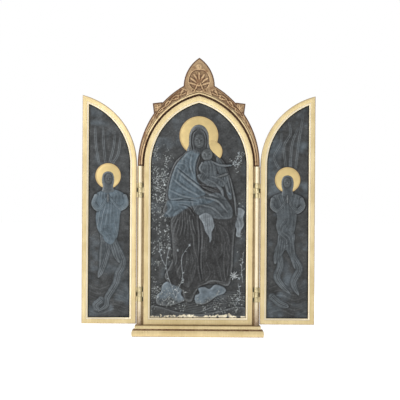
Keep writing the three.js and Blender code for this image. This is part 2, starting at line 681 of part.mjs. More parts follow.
function piece(name, solid, material) {
  const mesh = new THREE.Mesh(geometryOf(solid), material());
  mesh.name = name;
  return mesh;
}

function caseGroup() {
  const group = new THREE.Group();
  const childHole = slab(circleShape(...CHILD_HALO.slice(0, 2), CHILD_HALO[2] + GAP), -9, 9);
  group.add(
    piece('base_plinth', plinth(), gilding),
    piece('back_board', backBoard(), darkWood),
    piece('inner_frame', innerFrame(), gilding),
    piece('outer_arch', outerArch(), wornGilding),
    piece('central_relief', centralRelief(), patinatedRelief),
    piece('halo_mother', centralHalo(MOTHER_HALO, [childHole]), haloGilding),
    piece('halo_child', centralHalo(CHILD_HALO, []), haloGilding),
  );
  return group;
}

function sideGroup(name, side, angel) {
  const group = new THREE.Group();
  const { body, masses, head } = angelRelief(angel);
  group.add(
    piece(`hinge_bead_${name}`, hingeBead(side), gilding),
    piece(`wing_frame_${name}`, wingFrame(side), gilding),
    piece(`wing_relief_${name}`, body, patinatedRelief),
    piece(`halo_angel_${name}`, angelHalo(angel, masses, head), haloGilding),
    piece(`wing_back_${name}`, wingBack(side), darkWood),
  );
  HINGE.heights.forEach((height, i) => {
    const label = `${i ? 'upper' : 'lower'}_${name}`;
    group.add(
      piece(`hinge_case_leaf_${label}`, hingeLeaf(side, height, -1, CASE_KNUCKLES), dullBrass),
      piece(`hinge_wing_leaf_${label}`, hingeLeaf(side, height, 1, WING_KNUCKLES), dullBrass),
      piece(`hinge_pin_${label}`, hingePin(side, height), dullBrass),
    );
  });
  return group;
}

const elevation = new THREE.Group();
elevation.add(caseGroup(), sideGroup('left', -1, ANGELS.left), sideGroup('right', 1, ANGELS.right));
elevation.rotation.x = Math.PI / 2;
elevation.position.y = -FACE_SETOFF;

const altarpiece = new THREE.Group();
altarpiece.add(elevation);

export default altarpiece;
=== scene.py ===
"""Triptych altarpiece: the finish of a gilt pointed case with a dark relief and two hinged wings.

Every drawing below is an elevation in millimetres, as the part is drawn: x to the right, y upwards and
z towards the viewer, with z = 0 at the face of the frames.  stand() turns it upright in metres.
"""

import math

import bpy
import numpy as np
from bpy.props import FloatProperty, FloatVectorProperty, IntProperty, PointerProperty
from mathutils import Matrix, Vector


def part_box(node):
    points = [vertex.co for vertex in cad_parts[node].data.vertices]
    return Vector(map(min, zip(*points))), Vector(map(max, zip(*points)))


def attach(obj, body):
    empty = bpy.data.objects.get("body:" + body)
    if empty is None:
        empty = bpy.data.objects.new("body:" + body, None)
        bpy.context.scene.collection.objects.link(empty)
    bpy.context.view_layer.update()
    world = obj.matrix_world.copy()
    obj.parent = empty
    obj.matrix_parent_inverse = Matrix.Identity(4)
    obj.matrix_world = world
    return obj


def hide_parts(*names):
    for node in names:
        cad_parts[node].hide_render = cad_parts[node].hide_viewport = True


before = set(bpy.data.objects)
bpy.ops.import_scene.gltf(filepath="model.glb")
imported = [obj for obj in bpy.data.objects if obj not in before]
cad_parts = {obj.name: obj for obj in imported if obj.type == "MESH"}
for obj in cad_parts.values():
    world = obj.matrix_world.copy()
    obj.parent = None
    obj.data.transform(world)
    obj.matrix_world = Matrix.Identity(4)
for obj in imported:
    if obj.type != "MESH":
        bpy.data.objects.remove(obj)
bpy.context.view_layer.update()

bl_info = {
    "name": "Triptych altarpiece",
    "version": (1, 0, 0),
    "blender": (4, 5, 0),
    "location": "3D View > Sidebar > Altarpiece",
    "description": "Gilt case, carved reliefs, haloes, hinges and boards of a small folding altarpiece",
    "category": "Add Mesh",
}

# ------------------------------------------------------------------ sizes shared with the part

MM = 0.001
SETOFF = 3.0
SPRING = 376.0
LEAN = 37.5
AXIS = 128.3
SIDES = {"left": -1, "right": 1}

CASE = {"half": 120.5, "thick": 12.0, "opening": 105.6, "foot": 24.35, "sill": 40.5}
WING = {"edge": 0.6, "half": 120.5, "foot": 27.0, "thick": 14.0, "stile": 14.1, "panel": 1.65}
# How much narrower than its outer stile a wing's meeting stile and its rail are.
NARROWER = {"stile": 0.5, "rail": 0.6}
LIP = {"thick": 5.0, "overlap": 3.0, "gap": 0.35}
EDGE = 1.2
COVE = 2.6
ARCH = {"inner": 124.0, "outer": 134.2, "lean": 68.2, "foot": 374.5}
ARCH_LEVELS = {"face": 3.8, "field": 2.3, "fillet": 5.0, "ledge": -4.0}
ARCH_TOP = 614.0
PINNACLE = {"half": 34.3, "lean": 42.3, "spring": 548.7, "root": 537.0}
BLOCK = {"size": 21.0, "corner": (102.0, 512.0), "turn": math.radians(-7)}
BOARD = {"half": 132.4, "lean": 68.2}
BEAD = {"inner": 124.3, "outer": 132.6, "top": 374.0, "seat": -4.3, "reach": 135.2, "crown": 0.15}
BEAD_LEDGE = (-6.0, -3.6)
HINGE = {"length": 32.0, "barrel": 4.0, "bore": 1.6, "pin": 1.3, "play": 0.2, "forward": 0.3, "proud": 0.3}
HINGE_HEIGHTS = {"lower": 92.0, "upper": 321.0}
LEAF = {"thick": 1.6, "near": -1.8, "deep": -11.0, "root": 126.2, "clear": 123.8}
BACK = -12.0
GROUND = -6.0
HALO = {"back": -5.65, "front": -4.5, "ease": 0.5}
# Rings turned in a halo: how far in from its edge, how deep and how dark: painted shadow at the disc's
# edge, and darker in the turned groove.
HALO_RINGS = [(0.35, 0.1, 1.0), (1.0, 0.0, 0.3), (1.6, 0.0, 0.0), (2.6, 0.18, 0.5), (3.4, 0.0, 0.0)]
PROUDEST = -0.4
# The relief lies flat this near the frame, and is darkened as painted shade over this width.
CONTACT = {"flat": 2.0, "sink": 0.2, "dark": 3.0, "start": 1.0, "least": 0.25}

CAMERA = {"lens": 180, "sensor": 36, "width": 0.88, "across": 0.0033, "height": 0.3, "roll": -0.37}
AIM = (0, 0, 0.3)
# Each lamp's place, size and power.
LIGHTS = {
    "key": ((-0.9, -1.1, 1.0), 0.9, 13.0),
    "fill": ((1.6, -1.8, 0.8), 1.8, 6.0),
    "rim": ((0.3, 1.4, 1.7), 1.2, 10.0),
}
WORLD = {"lighting": 0.42, "seen": 1.0}
CHIPPED = 46.0


def stand(x, y, z):
    """Points of the elevation in metres, standing upright."""
    x, y, z = np.broadcast_arrays(x, y, z)
    return np.stack([x, -SETOFF - z, y], axis=-1) * MM


def paint(code):
    """A colour written as #rrggbb, made linear."""
    parts = [int(code[i : i + 2], 16) / 255 for i in (1, 3, 5)]
    return tuple(c / 12.92 if c <= 0.04045 else ((c + 0.055) / 1.055) ** 2.4 for c in parts)


# ------------------------------------------------------------------ settings a user would change


def spacing(name, about, default, least):
    """A distance between points, set out in millimetres."""
    limits = {"default": default * MM, "min": least * MM}
    return FloatProperty(name=name, description=about, unit="LENGTH", **limits)


def tint(name, about, code):
    return FloatVectorProperty(name=name, description=about, subtype="COLOR", default=paint(code))


class AltarpieceSizes(bpy.types.PropertyGroup):
    relief_step: spacing("Relief step", "Distance between the points of the central relief", 1.0, 0.5)
    wing_step: spacing("Wing relief step", "Distance between the points of the wing reliefs", 0.75, 0.5)
    arch_step: spacing("Arch step", "Distance between the points of the carved outer arch", 0.6, 0.4)
    arc_steps: IntProperty(
        name="Arc steps",
        description="Straight stretches in each arc of the frames",
        default=40,
        min=8,
    )
    seed: IntProperty(name="Seed", description="Seed of the leaves, folds and wear", default=11, min=0)


class AltarpieceColours(bpy.types.PropertyGroup):
    gilding: tint("Gilding", "Leaf on the frames, plinth and strips", "#e8d6a8")
    worn_gilding: tint("Worn gilding", "Rubbed leaf on the carved arch", "#a98f6d")
    bole: tint("Bole", "Red-brown ground that shows where the leaf has gone", "#6e4427")
    halo: tint("Halo gilding", "Gilt discs behind the heads", "#dfc68c")
    # Also colours the crests of the relief, as rubbed silver and painted highlight together.
    silver: tint("Rubbed silver and painted highlight", "Bright metal on the crests of the relief", "#b9bfc2")
    wood: tint("Dark wood", "Stained boards at the back", "#3d2a1c")
    brass: tint("Dull brass", "Hinges and their pins", "#e4d6ac")


# ------------------------------------------------------------------ shader expressions


class Wire:
    """A shader socket that takes part in Python expressions."""

    def __init__(self, shader, socket):
        self.shader = shader
        self.socket = socket

    def _math(self, operation, *values):
        return self.shader.node("ShaderNodeMath", {"operation": operation}, *values)

    def __add__(self, other):
        return self._math("ADD", self, other)

    __radd__ = __add__

    def __sub__(self, other):
        return self._math("SUBTRACT", self, other)

    def __rsub__(self, other):
        return self._math("SUBTRACT", other, self)

    def __mul__(self, other):
        return self._math("MULTIPLY", self, other)

    __rmul__ = __mul__

    def clamp(self):
        return self.shader.node("ShaderNodeClamp", {}, self)

    def step(self, low, high):
        """0 below low, 1 above high and smooth between them."""
        settings = {"interpolation_type": "SMOOTHSTEP"}
        return self.shader.node("ShaderNodeMapRange", settings, self, low, high, 0.0, 1.0)


class Shader:
    """Builds one material's nodes."""

    def __init__(self, name):
        self.material = bpy.data.materials.new(name)
        self.material.use_nodes = True
        self.tree = self.material.node_tree
        self.surface = self.tree.nodes["Principled BSDF"]
        self.place = self.node("ShaderNodeTexCoord", {}, out="Object")

    def node(self, kind, settings, *values, out=0, **named):
        node = self.tree.nodes.new(kind)
        for key, value in settings.items():
            setattr(node, key, value)
        for key, value in [*enumerate(values), *named.items()]:
            self.feed(node.inputs[key.replace("_", " ") if isinstance(key, str) else key], value)
        return Wire(self, node.outputs[out])

    def feed(self, socket, value):
        if isinstance(value, Wire):
            self.tree.links.new(value.socket, socket)
        elif socket.type == "RGBA" and len(value) == 3:
            socket.default_value = (*value, 1.0)
        else:
            socket.default_value = value

    def mix(self, factor, first, second, blend="MIX"):
        node = self.tree.nodes.new("ShaderNodeMix")
        node.data_type = "RGBA"
        node.blend_type = blend
        self.feed(node.inputs["Factor"], factor)
        self.feed(node.inputs["A"], first)
        self.feed(node.inputs["B"], second)
        return Wire(self, node.outputs["Result"])

    def stretched(self, scale, turn=(0.0, 0.0, 0.0)):
        return self.node("ShaderNodeMapping", {}, self.place, Scale=scale, Rotation=turn)

    def noise(self, scale, detail=3.0, rough=0.55, where=None, warp=0.0):
        values = {"Scale": scale, "Detail": detail, "Roughness": rough, "Distortion": warp}
        return self.node("ShaderNodeTexNoise", {}, where or self.place, **values)

    def spots(self, scale, where=None):
        """Distance to the nearest of scattered points."""
        return self.node("ShaderNodeTexVoronoi", {}, where or self.place, Scale=scale)

    def attribute(self, name, out="Fac"):
        return self.node("ShaderNodeAttribute", {"attribute_name": name}, out=out)

    def bump(self, height, distance, strength=1.0):
        return self.node("ShaderNodeBump", {}, Height=height, Distance=distance, Strength=strength)

    def finish(self, **sockets):
        for key, value in sockets.items():
            self.feed(self.surface.inputs[key.replace("_", " ")], value)
        return self.material


def shade(colour, share):
    """A darker or lighter tone of a colour."""
    return tuple(min(1.0, part * share) for part in colour)


def gilding(name, leaf, bole):
    """Burnished leaf, rubbed through to the bole at its edges, with specks, fine scratches and a painted
    highlight along its bevels, coves and crowns.
    """
    shader = Shader(name)
    cloud = shader.noise(22.0, 4.0)
    grain = shader.noise(420.0, 2.0)
    hatch = shader.noise(60.0, 3.0, where=shader.stretched((6.0, 1.0, 0.4)))
    rim = shader.attribute("rim")
    rub = shader.attribute("rub")
    mottle = (cloud.step(0.35, 0.7) * 0.6 + hatch.step(0.4, 0.75) * 0.4).clamp()
    pale = shade(leaf, 1.06)
    deep = (leaf[0] * 0.86, leaf[1] * 0.82, leaf[2] * 0.72)
    colour = shader.mix(mottle, deep, pale)
    # Painted highlight: pale leaf on the bright bevels, coves and crowns that the mesh marks.
    colour = shader.mix((rub * (0.7 + grain * 0.5)).clamp(), colour, (1.0, 0.93, 0.78))
    worn = (rim * (0.68 + 0.4 * shader.noise(170.0, 5.0, 0.65).step(0.3, 0.7))).clamp()
    colour = shader.mix(worn, colour, bole)
    specks = (1 - shader.spots(150.0).step(0.05, 0.12)) * shader.noise(35.0).step(0.5, 0.6)
    colour = shader.mix((specks * 0.8).clamp(), colour, shade(bole, 0.45))
    height = grain * 0.3 + cloud * 0.5 - worn * 0.5
    return shader.finish(
        Base_Color=colour,
        Metallic=(0.62 - worn * 0.5).clamp(),
        Roughness=(0.36 + mottle * 0.1 + worn * 0.25).clamp(),
        Normal=shader.bump(height, 0.00025, 0.5),
    )


def worn_gilding(name, leaf, bole, gilt):
    """Thin dull leaf over red-brown bole, a painted highlight on the crests, and darker brown in the
    hollows.
    """
    shader = Shader(name)
    cloud = shader.noise(30.0, 5.0)
    fine = shader.noise(260.0, 3.0)
    crest = shader.attribute("crest")
    hollow = shader.attribute("hollow")
    rim = shader.attribute("rim")
    dull = (leaf[0] * 0.72, leaf[1] * 0.66, leaf[2] * 0.6)
    colour = shader.mix(cloud.step(0.35, 0.65), dull, leaf)
    # Painted highlight: paler leaf on the crests.
    bright = shade(leaf, 1.55)
    colour = shader.mix((crest * (0.5 + fine * 0.5)).clamp(), colour, bright)
    colour = shader.mix((shader.attribute("gilt") * 0.75).clamp(), colour, gilt)
    # Darker brown in the hollows and along the dark-painted rim.
    dark_hollows_and_rim = (hollow * 0.9 + rim * 0.9).clamp()
    colour = shader.mix(dark_hollows_and_rim, colour, shade(bole, 0.5))
    rubbed = shader.noise(70.0, 4.0).step(0.56, 0.66)
    colour = shader.mix(rubbed * 0.55, colour, bole)
    return shader.finish(
        Base_Color=colour,
        Metallic=(0.45 - dark_hollows_and_rim * 0.3).clamp(),
        Roughness=(0.44 + fine * 0.15 + dark_hollows_and_rim * 0.2).clamp(),
        Normal=shader.bump(fine * 0.6 + cloud * 0.6, 0.0003, 0.6),
    )


def patinated_relief(name, silver):
    """Dark oxidised metal, rubbed bright on its crests with a painted highlight there, and darkened in its
    hollows by patina and painted shade.
    """
    shader = Shader(name)
    tone = shader.attribute("tone", "Color")
    crest = shader.attribute("crest")
    hollow = shader.attribute("hollow")
    cloud = shader.noise(45.0, 5.0, 0.6)
    fine = shader.noise(330.0, 3.0, 0.6)
    streak = shader.noise(70.0, 4.0, 0.6, where=shader.stretched((1.0, 1.0, 1.7)))
    dark = shader.mix(1.0, tone, (0.55, 0.55, 0.55), "MULTIPLY")
    light = shader.mix(1.0, tone, (1.45, 1.47, 1.5), "MULTIPLY")
    colour = shader.mix((cloud.step(0.3, 0.7) * 0.6 + streak.step(0.3, 0.7) * 0.4).clamp(), dark, light)
    # Crests: rubbed silver and painted highlight together.
    rubbed = (crest * (0.25 + fine)).clamp()
    colour = shader.mix(rubbed * 0.26, colour, silver)
    colour = shader.mix(fine.step(0.52, 0.72) * cloud.step(0.4, 0.7) * 0.16, colour, silver)
    # Hollows: patina and painted shade together.
    colour = shader.mix((hollow * 0.62).clamp(), colour, (0.010, 0.010, 0.011))
    return shader.finish(
        Base_Color=colour,
        Metallic=(0.45 + rubbed * 0.25).clamp(),
        Roughness=(0.52 - rubbed * 0.12 + fine * 0.12).clamp(),
        Specular_IOR_Level=0.3,
        Normal=shader.bump(fine * 0.7 + cloud * 0.5, 0.0003, 0.55),
    )


def halo_gilding(name, leaf, bole):
    """Bright burnished leaf with faint rings and a darker rim, which is painted shadow at the disc's edge.
    """
    shader = Shader(name)
    cloud = shader.noise(40.0, 4.0)
    fine = shader.noise(300.0, 2.0)
    rim = shader.attribute("rim")
    colour = shader.mix(cloud.step(0.35, 0.7), shade(leaf, 0.86), leaf)
    colour = shader.mix((rim * 0.8).clamp(), colour, bole)
    return shader.finish(
        Base_Color=colour,
        Metallic=(0.6 - rim * 0.3).clamp(),
        Roughness=(0.32 + fine * 0.12).clamp(),
        Normal=shader.bump(fine * 0.4 + cloud * 0.4, 0.0002, 0.4),
    )


def dark_wood(name, wood):
    """Stained board with upright grain, knots of shade and dry scratches."""
    shader = Shader(name)
    grain = shader.noise(55.0, 6.0, 0.65, where=shader.stretched((6.0, 6.0, 0.35)), warp=0.6)
    pores = shader.noise(420.0, 3.0, 0.6, where=shader.stretched((3.0, 3.0, 0.12)))
    stain = shader.noise(9.0, 4.0)
    pale = shade(wood, 2.1)
    colour = shader.mix(grain.step(0.3, 0.72), shade(wood, 0.5), pale)
    colour = shader.mix((pores.step(0.55, 0.7) * 0.6).clamp(), colour, shade(wood, 0.35))
    colour = shader.mix(stain.step(0.45, 0.75) * 0.45, colour, shade(wood, 0.7))
    return shader.finish(
        Base_Color=colour,
        Roughness=(0.6 + grain * 0.15).clamp(),
        Normal=shader.bump(grain * 0.6 - pores * 0.4, 0.0004, 0.6),
    )


def dull_brass(name, brass):
    """Grey-brown brass, brighter where it is rubbed."""
    shader = Shader(name)
    cloud = shader.noise(120.0, 4.0)
    fine = shader.noise(500.0, 2.0)
    colour = shader.mix(cloud.step(0.4, 0.65), shade(brass, 0.75), brass)
    return shader.finish(
        Base_Color=colour,
        Metallic=0.85,
        Roughness=(0.36 + fine * 0.2).clamp(),
        Normal=shader.bump(fine * 0.5 + cloud * 0.5, 0.0002, 0.5),
    )


# The way each slot is finished, and the colours that it takes.
FINISHES = {
    "gilding": (gilding, "gilding", "bole"),
    "worn_gilding": (worn_gilding, "worn_gilding", "bole", "gilding"),
    "patinated_relief": (patinated_relief, "silver"),
    "halo_gilding": (halo_gilding, "halo", "bole"),
    "dark_wood": (dark_wood, "wood"),
    "hinge_brass": (dull_brass, "brass"),
}


def finish_of(slot):
    """The finish of a material slot, made the first time that it is asked for."""
    name = f"finish_{slot}"
    if name not in bpy.data.materials:
        build, *tints = FINISHES[slot]
        colours = bpy.context.scene.altarpiece_colours
        build(name, *(tuple(getattr(colours, each)) for each in tints))
    return bpy.data.materials[name]


# ------------------------------------------------------------------ modelling helpers


def clear_selection():
    bpy.ops.object.select_all(action="DESELECT")


def named(name):
    """The new primitive, named and with its place in its mesh."""
    obj = bpy.context.object
    obj.name = name
    obj.data.name = name
    bpy.ops.object.transform_apply(location=True, rotation=True, scale=True)
    return obj


def points_of(obj):
    co = np.empty(len(obj.data.vertices) * 3, np.float32)
    obj.data.vertices.foreach_get("co", co)
    return co.reshape(-1, 3).astype(float)


def set_points(obj, points):
    obj.data.vertices.foreach_set("co", points.astype(np.float32).ravel())
    obj.data.update()


def set_attribute(obj, name, values):
    """A number, or a colour of three parts, for each point."""
    kind = "FLOAT" if values.ndim == 1 else "FLOAT_COLOR"
    layer = obj.data.attributes.new(name, kind, "POINT")
    if values.ndim == 1:
        layer.data.foreach_set("value", values.astype(np.float32))
        return
    alpha = np.ones((len(values), 1))
    layer.data.foreach_set("color", np.hstack([values, alpha]).astype(np.float32).ravel())


def select_faces(obj, mask):
    """Goes to edit mode with only these faces selected."""
    if bpy.context.object.mode == "EDIT":
        bpy.ops.object.mode_set(mode="OBJECT")
    bpy.context.tool_settings.mesh_select_mode = (False, False, True)
    obj.data.vertices.foreach_set("select", np.zeros(len(obj.data.vertices), bool))
    obj.data.edges.foreach_set("select", np.zeros(len(obj.data.edges), bool))
    obj.data.polygons.foreach_set("select", mask)
    bpy.ops.object.mode_set(mode="EDIT")


def merge_and_turn_out():
    """In edit mode: merges doubles and turns every face outwards."""
    bpy.ops.mesh.select_all(action="SELECT")
    bpy.ops.mesh.remove_doubles(threshold=0.00001)
    bpy.ops.mesh.normals_make_consistent(inside=False)


def wrapped_grid(name, columns, rows, place):
    """A grid whose points place(column, row) sets out in the elevation."""
    clear_selection()
    bpy.ops.mesh.primitive_grid_add(x_subdivisions=columns, y_subdivisions=rows, size=1)
    obj = named(name)
    flat = points_of(obj)
    column = np.rint((flat[:, 0] + 0.5) * columns).astype(int)
    row = np.rint((flat[:, 1] + 0.5) * rows).astype(int)
    set_points(obj, stand(*place(column, row)))
    return obj, column, row


def dress(obj, material, body, *nodes, angle=35.0):
    """Shading, finish and body of a finished piece, and the nodes that it stands for."""
    clear_selection()
    obj.select_set(True)
    bpy.context.view_layer.objects.active = obj
    bpy.ops.object.shade_smooth_by_angle(angle=math.radians(angle))
    obj.data.materials.clear()
    obj.data.materials.append(finish_of(material))
    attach(obj, body)
    if nodes:
        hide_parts(*nodes)
    return obj


def apply_bevel(obj, width, segments=2, angle=30.0):
    clear_selection()
    obj.select_set(True)
    bpy.context.view_layer.objects.active = obj
    bevel = obj.modifiers.new("Bevel", "BEVEL")
    bevel.width = width * MM
    bevel.segments = segments
    bevel.limit_method = "ANGLE"
    bevel.angle_limit = math.radians(angle)
    bpy.ops.object.modifier_apply(modifier=bevel.name)


# ------------------------------------------------------------------ outlines


def arch_points(half, lean, floor, steps):
    """A pointed arch on straight legs, from its lower left corner round to the upper left."""
    radius = half + lean
    turn = np.linspace(0, math.acos(lean / radius), steps + 1)
    right = np.stack([-lean + radius * np.cos(turn), SPRING + radius * np.sin(turn)], 1)
    left = right[-2::-1] * (-1, 1)
    return np.vstack([[(-half, floor), (half, floor)], right, left])


def wing_points(side, edge, half, floor, steps):
    """Half of the case's arch, swung out flat about the hinge axis."""
    radius = half + LEAN
    turn = np.linspace(0, math.acos((edge + LEAN) / radius), steps + 1)
    curve = np.stack([-LEAN + radius * np.cos(turn), SPRING + radius * np.sin(turn)], 1)
    closed = np.vstack([[(edge, floor), (half, floor)], curve])
    return np.stack([side * (2 * AXIS - closed[:, 0]), closed[:, 1]], 1)


def inside_arch(x, y, half, lean, floor, spring=SPRING):
    """How far a point lies inside a pointed arch; negative outside."""
    reach = half + lean - np.hypot(np.abs(x) + lean, y - spring)
    legs = half - np.abs(x)
    return np.minimum(np.where(y > spring, reach, legs), y - floor)


def inside_wing(x, y, side, edge, half, floor):
    closed = 2 * AXIS - side * x
    reach = half + LEAN - np.hypot(closed + LEAN, y - SPRING)
    sides = np.minimum(np.where(y > SPRING, reach, half - closed), closed - edge)
    return np.minimum(sides, y - floor)


# ------------------------------------------------------------------ relief carving


def smooth_line(points, closed=False, steps=6):
    """A smooth line through a few points."""
    p = np.asarray(points, float)
    if closed:
        p = np.vstack([p[-1:], p, p[:2]])
    else:
        p = np.vstack([2 * p[0] - p[1], p, 2 * p[-1] - p[-2]])
    t = np.linspace(0, 1, steps, endpoint=False)[:, None]
    spans = []
    for a, b, c, d in zip(p, p[1:], p[2:], p[3:]):
        slope, bend, twist = c - a, 2 * a - 5 * b + 4 * c - d, 3 * b - 3 * c + d - a
        spans.append(b + 0.5 * t * (slope + t * (bend + t * twist)))
    if not closed:
        spans.append(p[-2:-1])
    return np.vstack(spans)


def distance_to(x, y, line, closed=False):
    """Distance to a line, the share of its length at the nearest point, and the side."""
    ends = np.roll(line, -1, 0) if closed else line[1:]
    starts = line if closed else line[:-1]
    lengths = np.hypot(*(ends - starts).T)
    run = np.concatenate([[0], np.cumsum(lengths)])
    best = np.full(x.shape, np.inf)
    along = np.zeros(x.shape)
    side = np.zeros(x.shape)
    for (ax, ay), (bx, by), length, before in zip(starts, ends, lengths, run):
        if length == 0:
            continue
        ux, uy = (bx - ax) / length, (by - ay) / length
        t = np.clip((x - ax) * ux + (y - ay) * uy, 0, length)
        gap = np.hypot(x - ax - t * ux, y - ay - t * uy)
        near = gap < best
        best = np.where(near, gap, best)
        along = np.where(near, (before + t) / run[-1], along)
        side = np.where(near, (x - ax) * uy - (y - ay) * ux, side)
    return best, along, np.sign(side)


def inside_loop(x, y, loop):
    """How far a point lies inside a closed outline; negative outside."""
    gap = distance_to(x, y, loop, closed=True)[0]
    within = np.zeros(x.shape, bool)
    for (ax, ay), (bx, by) in zip(loop, np.roll(loop, -1, 0)):
        if ay != by:
            within ^= ((ay > y) != (by > y)) & (x < (bx - ax) * (y - ay) / (by - ay) + ax)
    return np.where(within, gap, -gap)


def softened(field, passes):
    for _ in range(passes):
        padded = np.pad(field, 1, mode="edge")
        field = (padded[:-2, 1:-1] + 2 * padded[1:-1, 1:-1] + padded[2:, 1:-1]) / 4
        padded = np.pad(field, 1, mode="edge")
        field = (padded[1:-1, :-2] + 2 * padded[1:-1, 1:-1] + padded[1:-1, 2:]) / 4
    return field


# Distance from its source at which a pleat has the spacing that is asked for.
PLEAT_REACH = 100.0
# How far round a point its height is compared, and the difference that makes it fully crest or hollow: the
# crests take wear and a painted highlight, and the hollows are darkened.
WEAR_AND_PAINTED_LIGHT = {"near": (4, 0.4), "wide": (24, 1.2)}


def swelling(t, ends):
    """Share of its full width that a line has along its length, fullest at its middle."""
    swell = ends[0] + (ends[1] - ends[0]) * t
    return swell + (1 - swell) * np.sin(math.pi * np.clip(t, 0, 1)) ** 0.6


class Carving:
    """Heights and tones over a grid of points, raised mass by mass."""

    def __init__(self, low, high, step, ground, tone, seed=0):
        self.step = step
        self.columns = int(math.ceil((high[0] - low[0]) / step))
        self.rows = int(math.ceil((high[1] - low[1]) / step))
        across = np.linspace(low[0], high[0], self.columns + 1)
        up = np.linspace(low[1], high[1], self.rows + 1)
        self.x, self.y = np.meshgrid(across, up)
        self.h = np.full(self.x.shape, float(ground))
        self.tone = np.empty((*self.x.shape, 3))
        self.tone[:] = tone
        self.marks = {}
        self.chance = np.random.default_rng(seed)

    def near(self, points, margin):
        """The part of the grid round some points."""
        p = np.asarray(points)
        low, high = p.min(0) - margin, p.max(0) + margin
        columns = np.searchsorted(self.x[0], (low[0], high[0]))
        rows = np.searchsorted(self.y[:, 0], (low[1], high[1]))
        return np.s_[rows[0] : rows[1], columns[0] : columns[1]]

    def put(self, where, mask, heights, tone=None, share=1.0):
        self.h[where] = np.where(mask, heights, self.h[where])
        if tone is not None:
            mixed = self.tone[where] * (1 - share) + np.asarray(tone) * share
            self.tone[where] = np.where(mask[..., None], mixed, self.tone[where])

    def mass(self, outline, front, edge, tone, crown):
        """A rounded form that stands in front of what is behind it."""
        loop = smooth_line(outline, closed=True)
        where = self.near(loop, 1)
        inside = inside_loop(self.x[where], self.y[where], loop)
        rise = np.sqrt(1 - (1 - np.clip(inside / edge, 0, 1)) ** 2)
        top = GROUND + (front - GROUND) * rise + crown * (1 - np.exp(-np.maximum(inside, 0) / 9))
        self.put(where, (inside > 0) & (top > self.h[where]), top, tone)

    def stain(self, outline, tone, soft=3.0, share=1.0):
        """Colour alone, with a soft edge."""
        loop = smooth_line(outline, closed=True)
        where = self.near(loop, soft)
        inside = inside_loop(self.x[where], self.y[where], loop)
        part = np.clip(inside / soft + 0.5, 0, 1)[..., None] * share
        self.tone[where] = self.tone[where] * (1 - part) + np.asarray(tone) * part

    def ridge(self, points, width, height, ends=(0.35, 0.35), hollow=0.35, tone=None, share=1.0):
        """A fold laid on the form below, with a slight hollow on either side of it."""
        line = smooth_line(points)
        where = self.near(line, 3.2 * width)
        gap, t, _ = distance_to(self.x[where], self.y[where], line)
        swell = swelling(t, ends)
        crest = np.exp(-((gap / (width * swell)) ** 2))
        ditch = np.exp(-(((gap - 1.9 * width) / (0.8 * width)) ** 2))
        self.h[where] += height * swell * crest - hollow * height * swell * ditch
        if tone is not None:
            part = (np.clip(1.6 * crest, 0, 1) * share)[..., None]
            self.tone[where] = self.tone[where] * (1 - part) + np.asarray(tone) * part

    def groove(self, points, width, depth):
        self.ridge(points, width, -depth, hollow=0.3)

    def limb(self, points, width, front, ends=(0.7, 0.6), tone=None, fall=3.0):
        """A round form along a line, at its own height."""
        line = smooth_line(points)
        where = self.near(line, width + 1)
        gap, t, _ = distance_to(self.x[where], self.y[where], line)
        swell = swelling(t, ends)
        round_ = np.sqrt(np.clip(1 - (gap / (width * swell)) ** 2, 0, 1))
        top = front - fall * (1 - round_) * np.minimum(1, width / 4)
        self.put(where, (gap < width * swell) & (top > self.h[where]), top, tone)

    def egg(self, x, y, across, tall, level, deep, tone=None):
        where = self.near([(x - across, y - tall), (x + across, y + tall)], 1)
        spread = ((self.x[where] - x) / across) ** 2 + ((self.y[where] - y) / tall) ** 2
        top = level + deep * np.sqrt(np.clip(1 - spread, 0, 1))
        self.put(where, (spread < 1) & (top > self.h[where]), top, tone)

    def leaf(self, x, y, long, wide, high, turn, tone=None, share=1.0):
        """A small leaf lying on whatever is below it."""
        reach = max(long, wide)
        tip = (x + long * math.cos(turn), y + long * math.sin(turn))
        where = self.near([(x, y), tip], reach)
        u = (self.x[where] - x) * math.cos(turn) + (self.y[where] - y) * math.sin(turn)
        v = (self.y[where] - y) * math.cos(turn) - (self.x[where] - x) * math.sin(turn)
        spread = ((u - long / 2) / (long / 2)) ** 2 + (v / wide) ** 2
        if not spread.size:
            return
        lift = high * np.clip(1 - spread, 0, 1)
        self.put(where, spread < 1, self.h[where] + lift, tone, share)

    def cloud(self, scale):
        """Smooth unevenness of a given grain, mostly between -1 and 1."""
        across = (self.x[0] - self.x[0, 0]) / scale
        up = (self.y[:, 0] - self.y[0, 0]) / scale
        coarse = self.chance.normal(0, 0.6, (int(up[-1]) + 2, int(across[-1]) + 2))
        i, j = across.astype(int), up.astype(int)
        u, v = across - i, up - j
        u, v = u * u * (3 - 2 * u), (v * v * (3 - 2 * v))[:, None]
        low = coarse[j][:, i] * (1 - u) + coarse[j][:, i + 1] * u
        high = coarse[j + 1][:, i] * (1 - u) + coarse[j + 1][:, i + 1] * u
        return low * (1 - v) + high * v

    def roughen(self, amount, scale):
        """Slow unevenness of a hand-worked surface."""
        self.h += amount * (self.cloud(scale) + 0.5 * self.cloud(scale / 2.3))

    def pleats(self, outline, source, gap, height, wander, soft=6.0):
        """Folds that fan out from a point, wandering and dying away as cloth does."""
        loop = smooth_line(outline, closed=True)
        where = self.near(loop, 1)
        x, y = self.x[where], self.y[where]
        part = np.clip(inside_loop(x, y, loop) / soft, 0, 1)
        turn = np.arctan2(x - source[0], source[1] - y)
        phase = math.pi * turn * PLEAT_REACH / gap + wander * 2.2 * self.cloud(26)[where]
        strength = np.clip(0.65 + 0.8 * self.cloud(34)[where], 0, 1.4) * part
        crest = 1 - np.abs(np.sin(phase)) ** 0.8
        fine = 1 - np.abs(np.sin(2.3 * phase + 1.1)) ** 0.9
        self.h[where] += height * strength * (crest + 0.35 * fine - 0.45)

